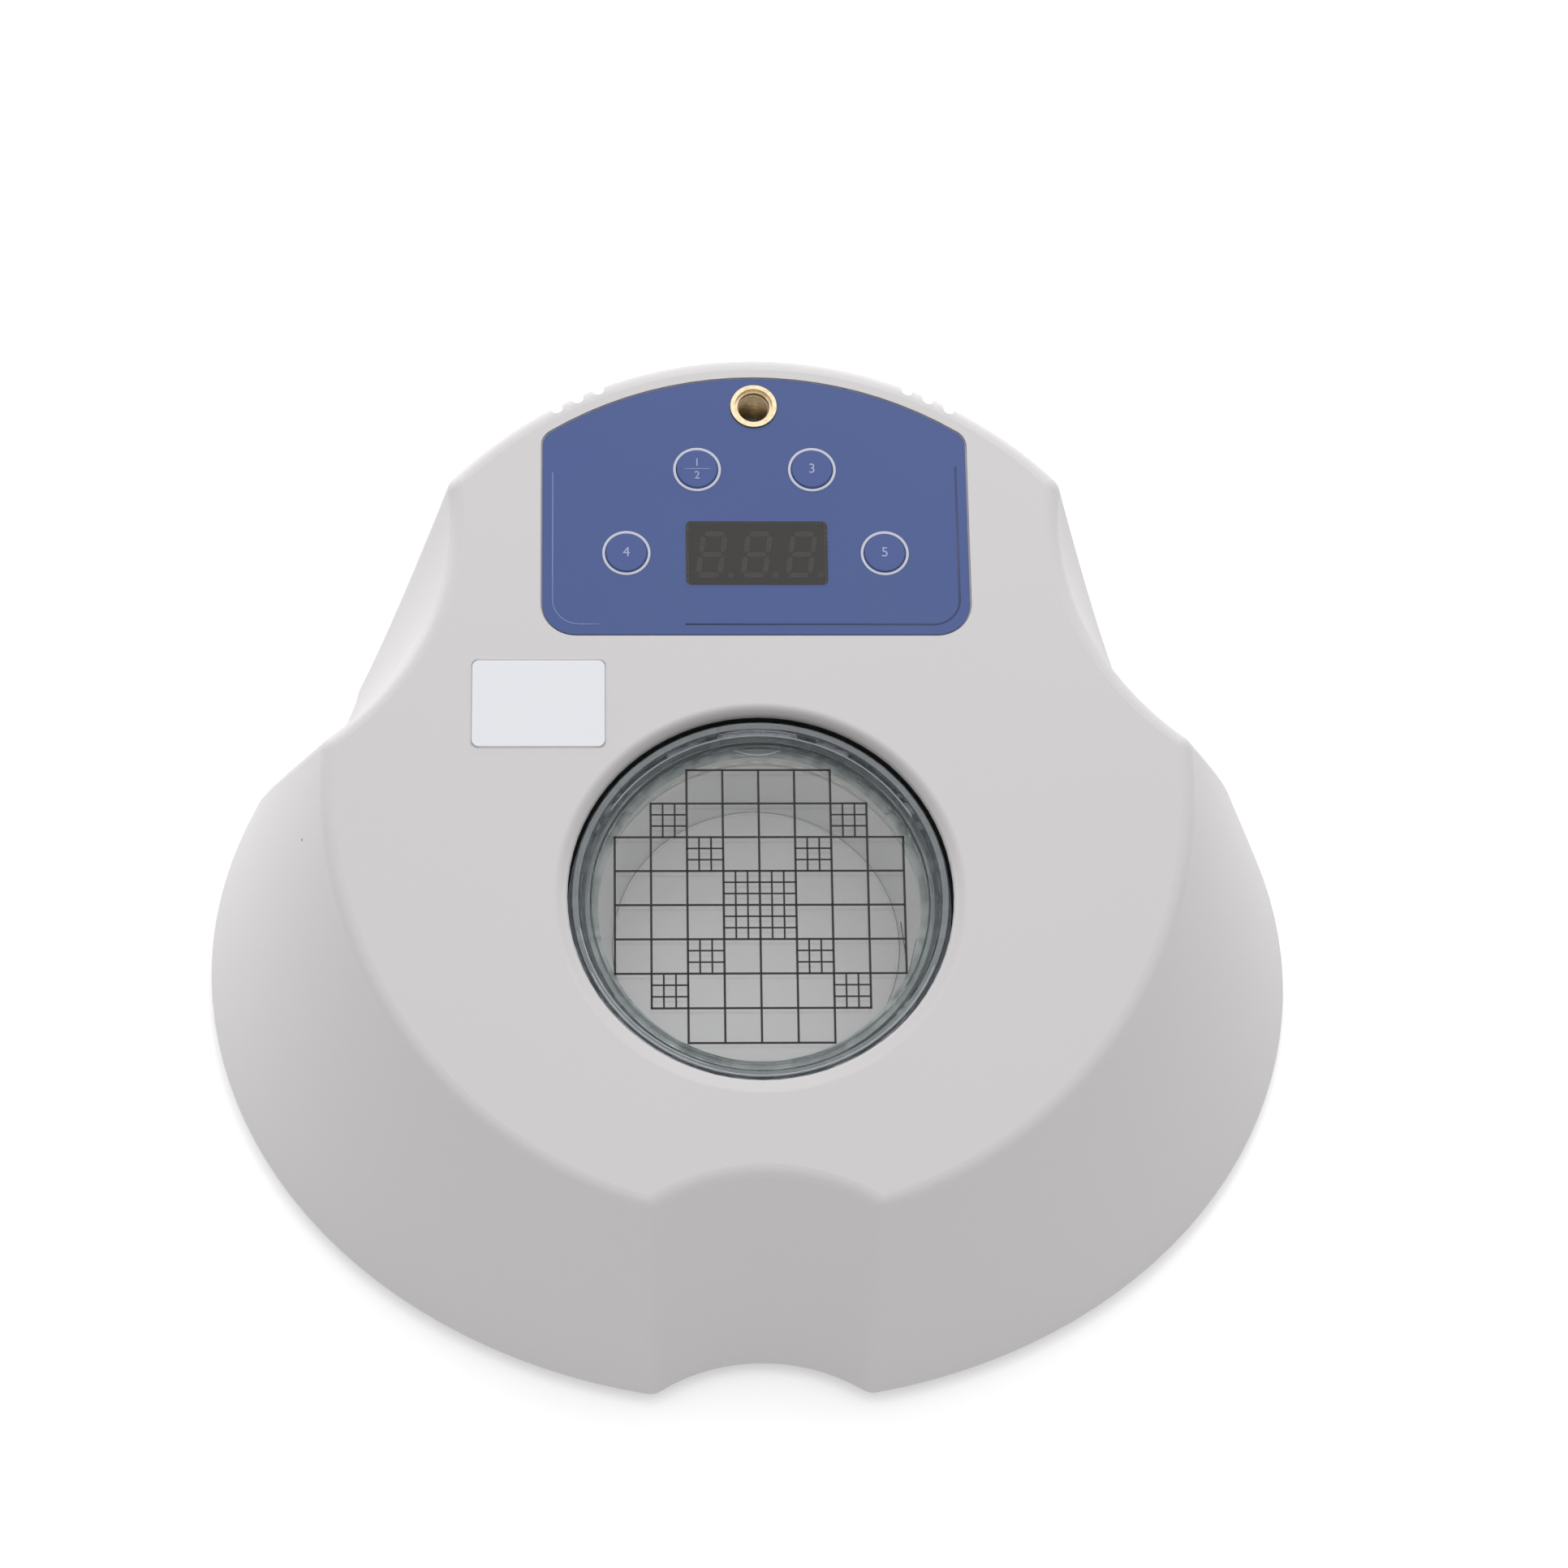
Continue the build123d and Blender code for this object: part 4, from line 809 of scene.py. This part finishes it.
def film_frame(outer, inner, name, material, body, level):
    """A flat frame of film between two loops."""
    curve = bpy.data.curves.new(name, "CURVE")
    curve.dimensions, curve.fill_mode, curve.extrude = "2D", "BOTH", PRINT / 2 * MM
    for loop in (outer, inner):
        spline = curve.splines.new("POLY")
        spline.points.add(len(loop) - 1)
        spline.use_cyclic_u = True
        for point, (x, y) in zip(spline.points, loop):
            point.co = (x * MM, y * MM, 0, 1)
    shape = bpy.data.objects.new(name, curve)
    bpy.context.collection.objects.link(shape)
    only(shape)
    bpy.ops.object.convert(target="MESH")
    return finish_piece(shape, name, body, material, on_deck(w=level))


WINDOW_ROUND, WINDOW_EDGE, EDGE_INSET = 1.8, 0.28, 0.2
MASK_OUTSET, MASK_INSET, MASK_ROUND = 0.4, 0.15, 0.3
x, y, half_width, half_height = deck_span("display_window")
mask = film_frame(
    rounded_loop(x, y, half_width + MASK_OUTSET, half_height + MASK_OUTSET, MASK_ROUND),
    rounded_loop(x, y, half_width - MASK_INSET, half_height - MASK_INSET, WINDOW_ROUND),
    "window_mask", panel_blue, "root", PANEL_FACE + PRINT,
)
edge_brown = moulded("edge_brown", tone(104, 97, 95), 0.5, 2600, 0.04)
edge_points = rounded_loop(x, y, half_width - EDGE_INSET, half_height - EDGE_INSET, WINDOW_ROUND)
edge = flat_line(edge_points, WINDOW_EDGE, True)
finish_piece(edge, "window_edge", "root", edge_brown, on_deck(w=PANEL_FACE + 2 * PRINT))

# %% Label border
BORDER_INSET, BORDER_ROUND, BORDER_WIDTH = 0.15, 1.6, 0.22
x, y, half_width, half_height = deck_span("label_plate")
border_grey = moulded("border_grey", tone(158, 160, 166), 0.4, 3000, 0.03)
border_points = rounded_loop(
    x, y, half_width - BORDER_INSET, half_height - BORDER_INSET, BORDER_ROUND
)
border = flat_line(border_points, BORDER_WIDTH, True)
finish_piece(border, "label_border", "root", border_grey, on_deck(w=deck_level("label_plate")))

# %% [markdown]
# ## The clear ring's lights
#
# A turned ring of clear acrylic is never quite clear. The light that its top land reflects is a
# painted sheen, a pale film that lets most through, and the light its edges catch is painted as thin
# bright arcs, each a flat line. They ride on the ring, so that they lift with it.

# %% Painted sheen on the land and painted highlight arcs
def arc(radius, start, end, step=3):
    """Points on the deck round the stage axis, between two angles in degrees."""
    turns = [math.radians(a) for a in range(start, end, step)]
    return [(radius * math.cos(a), radius * math.sin(a)) for a in turns]


RING_TOP, RING_STEP = -1.88, -4.48
LAND_INNER, LAND_OUTER = 50.05, 51.65
# Painted sheen: a pale film over the ring's top land.
land_painted_sheen = moulded("land_painted_sheen", tone(176, 182, 186), 0.40, 2600, 0.03, Alpha=0.24)
land = film_frame(
    arc(LAND_OUTER, 0, 360), arc(LAND_INNER, 0, 360),
    "ring_land_sheen", land_painted_sheen, "centring_ring", RING_TOP,
)
# Painted highlights: thin white arcs where the ring's edges catch light.
painted_highlight_white = moulded("painted_highlight_white", tone(232, 236, 240), 0.35, 2600, 0.02, Alpha=0.60)
HIGHLIGHT_ARCS = [  # radius, first and last angle, level and width
    (49.0, 30, 150, RING_STEP, 0.40),
    (51.2, 205, 338, RING_TOP, 0.22),
    (50.3, 190, 255, RING_TOP, 0.16),
]
for number, (radius, start, end, level, width) in enumerate(HIGHLIGHT_ARCS):
    highlight_arc = flat_line(arc(radius, start, end), width)
    finish_piece(highlight_arc, "ring_highlight_" + str(number), "centring_ring", painted_highlight_white, on_deck(w=level))

# %% [markdown]
# ## Small marks on and under the glass
#
# The disc has a shallow finger hollow at its rear edge, whose rim catching the light is a painted
# highlight, a pale arc, and a disc that is wiped every day has a hair scratch or two. Far below, the
# joint between the background and the wall of the well is bridged by a bead, so that no dark gap
# shows.

# %% Painted highlight on the finger hollow, scratches and bead
# Painted highlight: a pale arc for the light along the finger hollow's rim.
hollow_highlight = moulded("hollow_highlight", tone(216, 219, 218), 0.4, 2600, 0.03, Alpha=0.7)
HOLLOW_HALF, HOLLOW_LOW, HOLLOW_RISE, HOLLOW_WIDTH = 6.8, 44.5, 1.7, 0.38
BEAD_WIDTH = 0.7
on_glass = on_deck(w=INK / 2 - GLASS_DEPTH)
hollow_points = [
    (x, HOLLOW_LOW + HOLLOW_RISE * (x / HOLLOW_HALF) ** 2)
    for x in (-6.8, -5.4, -4, -2.6, -1.2, 0, 1.2, 2.6, 4, 5.4, 6.8)
]
hollow = flat_line(hollow_points, HOLLOW_WIDTH)
finish_piece(hollow, "finger_hollow_highlight", "graticule_disc", hollow_highlight, on_glass)
scratch_grey = moulded("scratch_grey", tone(84, 84, 90), 0.5, 2600, 0.03, Alpha=0.7)
hairs = [  # points and width of each scratch
    flat_line([(38.7, -5.1), (39.3, -10.0), (40.1, -17.0)], 0.30),
    flat_line([(43.0, -10.0), (42.0, -14.0), (40.7, -19.5)], 0.16),
]
for hair in hairs:
    only(hair)
    bpy.ops.object.transform_apply(location=True, rotation=True, scale=True)
scratches = finish_piece(
    join(hairs), "disc_scratches", "graticule_disc", scratch_grey, on_glass
)
background_radius = deck_span("background_disc")[2]
bead = flat_line(arc(background_radius, 0, 360), BEAD_WIDTH, True)
bead_place = on_deck(w=deck_level("background_disc") + PRINT)
finish_piece(bead, "background_bead", "root", background_grey, bead_place)

# %% [markdown]
# ## Key numbers
#
# Each key carries a plain number, and the first carries two with a line between them. Text is born
# flat, so it is given a hair of thickness, made a mesh and laid on the key's face. It rides on the
# key's own body, so that it goes down with it.

# %% Numbers on the keys
KEY_MARKS = {
    "key_upper_left": [("1", 1.9), ("2", -2.1)],
    "key_upper_right": [("3", 0.0)],
    "key_lower_left": [("4", 0.0)],
    "key_lower_right": [("5", 0.0)],
}
KEY_FACE = 0.35
NUMBER_SIZE = 4.2
PAIRED_SIZE = 0.8  # of a single number
BAR_HALF, BAR_WIDTH = 3.8, 0.18
print_pale = moulded("print_pale", tone(160, 166, 202), 0.40, 2600, 0.03)


def number_mark(text, x, y, size):
    """A number as a thin flat mesh, in the deck's own x and y millimetres."""
    start_fresh()
    bpy.ops.object.text_add(location=(x * MM, y * MM, 0))
    mark = bpy.context.object
    mark.data.body = text
    mark.data.size = size * MM
    mark.data.align_x, mark.data.align_y = "CENTER", "CENTER"
    mark.data.extrude = PRINT * MM
    bpy.ops.object.convert(target="MESH")
    return mark


for node, numbers in KEY_MARKS.items():
    x, y = deck_span(node)[:2]
    size = NUMBER_SIZE if len(numbers) == 1 else NUMBER_SIZE * PAIRED_SIZE
    marks = [number_mark(text, x, y + rise, size) for text, rise in numbers]
    if len(numbers) > 1:
        marks.append(flat_line([(x - BAR_HALF, y), (x + BAR_HALF, y)], BAR_WIDTH))
    for mark in marks:
        only(mark)
        bpy.ops.object.transform_apply(location=True, rotation=True, scale=True)
    label = finish_piece(join(marks), node + "_mark", node, print_pale, on_deck(w=KEY_FACE + PRINT))

# %% [markdown]
# ## The thread in the brass socket
#
# A lens arm screws into this socket. A small triangle, set at the bore's wall and swept by the Screw
# modifier, makes a true helical thread: one turn for each millimetre of pitch.

# %% Cut thread
THREAD_RADIUS = mounts["lens_arm_socket"]["dims"]["r_mm"]
THREAD_LENGTH = mounts["lens_arm_socket"]["dims"]["length_mm"]
PITCH = 1.0
CREST = 0.42
ROOT_HEIGHT, CREST_LOW, CREST_HIGH = 0.9, 0.35, 0.55  # of the pitch
ROOT_SINK = 0.02  # into the bore's wall
THREAD_START = 0.5  # above the foot of the bore
start_fresh()
bpy.ops.mesh.primitive_plane_add(size=1)
tooth = bpy.context.object
bpy.ops.object.mode_set(mode="EDIT")
bpy.ops.mesh.select_all(action="DESELECT")
bpy.ops.object.mode_set(mode="OBJECT")
ROOT = THREAD_RADIUS + ROOT_SINK
TIP = THREAD_RADIUS - CREST
outline = [(ROOT, 0), (ROOT, ROOT_HEIGHT * PITCH), (TIP, CREST_LOW * PITCH), (TIP, CREST_HIGH * PITCH)]
for vertex, (radius, level) in zip(tooth.data.vertices, outline):
    vertex.co = (radius * MM, 0, level * MM)
bpy.ops.object.mode_set(mode="EDIT")
bpy.ops.mesh.select_all(action="SELECT")
bpy.ops.mesh.delete(type="ONLY_FACE")
bpy.ops.object.mode_set(mode="OBJECT")
sweep = tooth.modifiers.new("thread", "SCREW")
sweep.screw_offset = PITCH * MM
sweep.iterations = int(THREAD_LENGTH - 2)
sweep.steps = sweep.render_steps = 40
sweep.use_merge_vertices = True
bpy.ops.object.modifier_apply(modifier="thread")
bpy.ops.object.mode_set(mode="EDIT")
bpy.ops.mesh.select_all(action="DESELECT")
bpy.ops.mesh.select_non_manifold()
bpy.ops.mesh.edge_face_add()
bpy.ops.object.mode_set(mode="OBJECT")
socket_offset = Vector(mounts["lens_arm_socket"]["pos_m"]) - stage_centre
socket_x, socket_y = socket_offset.dot(right) / MM, socket_offset.dot(upslope) / MM
socket_w = socket_offset.dot(out) / MM - THREAD_LENGTH / 2
thread_place = on_deck(socket_x, socket_y, socket_w + THREAD_START)
thread = finish_piece(tooth, "socket_thread", "root", thread_brass, thread_place, 40)

# %% [markdown]
# ## Screws with a cross recess
#
# The ready made screws are plain. The ones that show, under the base and on the rear panel, are
# replaced by a modelled pan head: a short cylinder is domed with a bevel, and two crossed blades are
# cut out of its top to make the cross recess. One screw is modelled, and copies go to every hole.

# %% One pan head screw
HEAD_RADIUS, HEAD_HEIGHT, HEAD_ROUND, SHANK_RADIUS = 2.9, 1.6, 0.7, 1.5
BLADE_LONG, BLADE_THICK, BLADE_DEEP = 3.0, 0.75, 1.6
BASE_SHANK, REAR_SHANK = 14.0, 5.0
SCREW_TURN = 37  # degrees from one screw's cross to the next


def pan_head(shank):
    """A pan head with a cross recess, its seat at z = 0 and its shank going down."""
    start_fresh()
    bpy.ops.mesh.primitive_cylinder_add(
        vertices=32,
        radius=HEAD_RADIUS * MM,
        depth=HEAD_HEIGHT * MM,
        location=(0, 0, HEAD_HEIGHT / 2 * MM),
    )
    head = bpy.context.object
    dome = head.modifiers.new("dome", "BEVEL")
    dome.width = HEAD_ROUND * MM
    dome.segments = 4
    dome.limit_method = "ANGLE"
    bpy.ops.object.modifier_apply(modifier="dome")
    recess = []
    for turn in (0, 90):
        start_fresh()
        bpy.ops.mesh.primitive_cube_add(size=1, location=(0, 0, HEAD_HEIGHT * MM))
        blade = bpy.context.object
        blade.scale = (BLADE_LONG * MM, BLADE_THICK * MM, BLADE_DEEP * MM)
        blade.rotation_euler.z = math.radians(turn)
        bpy.ops.object.transform_apply(location=True, rotation=True, scale=True)
        recess.append(blade)
    for blade in recess:
        only(head)
        cut = head.modifiers.new("recess", "BOOLEAN")
        cut.object = blade
        cut.solver = "EXACT"
        bpy.ops.object.modifier_apply(modifier="recess")
    only(*recess)
    bpy.ops.object.delete()
    start_fresh()
    bpy.ops.mesh.primitive_cylinder_add(
        vertices=20, radius=SHANK_RADIUS * MM, depth=shank * MM, location=(0, 0, -shank / 2 * MM)
    )
    return join([head, bpy.context.object])


def place_screws(name, node, seats, facing, shank):
    """Copies of one screw at every seat, as one piece that stands for the node."""
    pattern = pan_head(shank)
    turn = facing.to_track_quat("Z", "Y").to_matrix().to_4x4()
    copies = []
    for index, seat in enumerate(seats):
        copy = pattern.copy()
        copy.data = pattern.data.copy()
        bpy.context.collection.objects.link(copy)
        spin = Matrix.Rotation(math.radians(SCREW_TURN * index), 4, "Z")
        copy.matrix_world = Matrix.Translation(seat) @ turn @ spin
        copies.append(copy)
    only(pattern)
    bpy.ops.object.delete()
    for copy in copies:
        only(copy)
        bpy.ops.object.transform_apply(location=True, rotation=True, scale=True)
    piece = finish_piece(join(copies), name, "root", steel, smooth=35)
    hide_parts(node)
    return piece


# %% Screws under the base and on the rear panel
SCREW_REACH = 0.020  # metres; points closer than this are of one screw


def island_centres(node):
    """The lowest and highest corner of each separate solid of a node, found by grouping its points
    that lie close together.
    """
    mesh = frame["nodes"][node].data
    points = [Vector(v.co) for v in mesh.vertices]
    centres = []
    for point in points:
        for group in centres:
            if (group["seed"] - point).length < SCREW_REACH:
                group["low"] = Vector(map(min, group["low"], point))
                group["high"] = Vector(map(max, group["high"], point))
                break
        else:
            centres.append({"seed": point, "low": point.copy(), "high": point.copy()})
    return centres


base_seats = []
for island in island_centres("base_screws"):
    middle = (island["low"] + island["high"]) / 2
    base_seats.append(Vector((middle.x, middle.y, island["low"].z + HEAD_HEIGHT * MM)))
place_screws("base_screw_heads", "base_screws", base_seats, Vector((0, 0, -1)), BASE_SHANK)
rear_seats = []
for island in island_centres("rear_panel_screws"):
    middle = (island["low"] + island["high"]) / 2
    rear_seats.append(Vector((middle.x, island["high"].y - HEAD_HEIGHT * MM, middle.z)))
place_screws("rear_screw_heads", "rear_panel_screws", rear_seats, Vector((0, 1, 0)), REAR_SHANK)

# %% [markdown]
# ## A scale round the knob
#
# The sensitivity knob turns over a scale of eleven dots, printed on the rear panel. The first, the
# middle and the last are larger.

# %% Knob scale
PRINT_RAISE = 0.05
print_white = moulded("print_white", tone(222, 222, 220), 0.45, 2600, 0.03)
knob_low, knob_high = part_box("sensitivity_knob")
panel_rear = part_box("rear_panel")[1].y
knob_middle = (knob_low + knob_high) / 2
SCALE_RADIUS, SCALE_DOTS, SCALE_SWEEP = 9.0, 11, 280.0
SMALL_DOT, LARGE_DOT = 0.42, 0.65
dots = []
for k in range(SCALE_DOTS):
    angle = math.radians(90 + SCALE_SWEEP / 2 - SCALE_SWEEP * k / (SCALE_DOTS - 1))
    start_fresh()
    size = SMALL_DOT if k % 5 else LARGE_DOT
    bpy.ops.mesh.primitive_cylinder_add(
        vertices=16,
        radius=size * MM,
        depth=2 * PRINT_RAISE * MM,
        location=(
            knob_middle.x + SCALE_RADIUS * MM * math.cos(angle),
            panel_rear,
            knob_middle.z + SCALE_RADIUS * MM * math.sin(angle),
        ),
        rotation=(math.radians(90), 0, 0),
    )
    dots.append(bpy.context.object)
scale = finish_piece(join(dots), "knob_scale", "root", print_white)

# %% [markdown]
# ## On and off
#
# A rocker has a stroke on the half that switches on and a circle on the half that switches off. Its
# face is bent at the middle, so each mark is laid on the slope of its own half: the largest facet
# there that looks to the rear gives the slope, and its neighbours in the same plane the middle.

# %% Rocker marks
SAME_PLANE = 0.1  # millimetres
SAME_WAY = 0.999


def rocker_half(upper):
    """The matrix of the rear face of the rocker's upper or lower half."""
    low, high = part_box("power_rocker")
    middle = (low + high) / 2
    rear = [
        facet for facet in frame["nodes"]["power_rocker"].data.polygons
        if facet.normal.y > 0.8 and (facet.center.z > middle.z) == upper
    ]
    largest = max(rear, key=lambda facet: facet.area)
    facing, centre, total = largest.normal.copy(), Vector(), 0.0
    for facet in rear:
        apart = abs((facet.center - largest.center).dot(facing)) / MM
        if apart < SAME_PLANE and facet.normal.dot(facing) > SAME_WAY:
            centre += facet.center * facet.area
            total += facet.area
    across = Vector((-1, 0, 0))
    turn = Matrix((across, facing.cross(across), facing)).transposed()
    centre = Vector((middle.x, centre.y / total, centre.z / total))
    print("rocker half", upper, [round(v, 4) for v in centre], [round(v, 3) for v in facing])
    return Matrix.Translation(centre) @ turn.to_4x4()


MARK_HALF, MARK_WIDTH = 1.3, 0.4
stroke = flat_line([(0, -MARK_HALF), (0, MARK_HALF)], MARK_WIDTH)
circle = flat_line(arc(MARK_HALF, 0, 360, 12), MARK_WIDTH, True)
for mark, name, upper in ((stroke, "rocker_stroke", True), (circle, "rocker_circle", False)):
    finish_piece(mark, name, "power_rocker", print_white, rocker_half(upper))
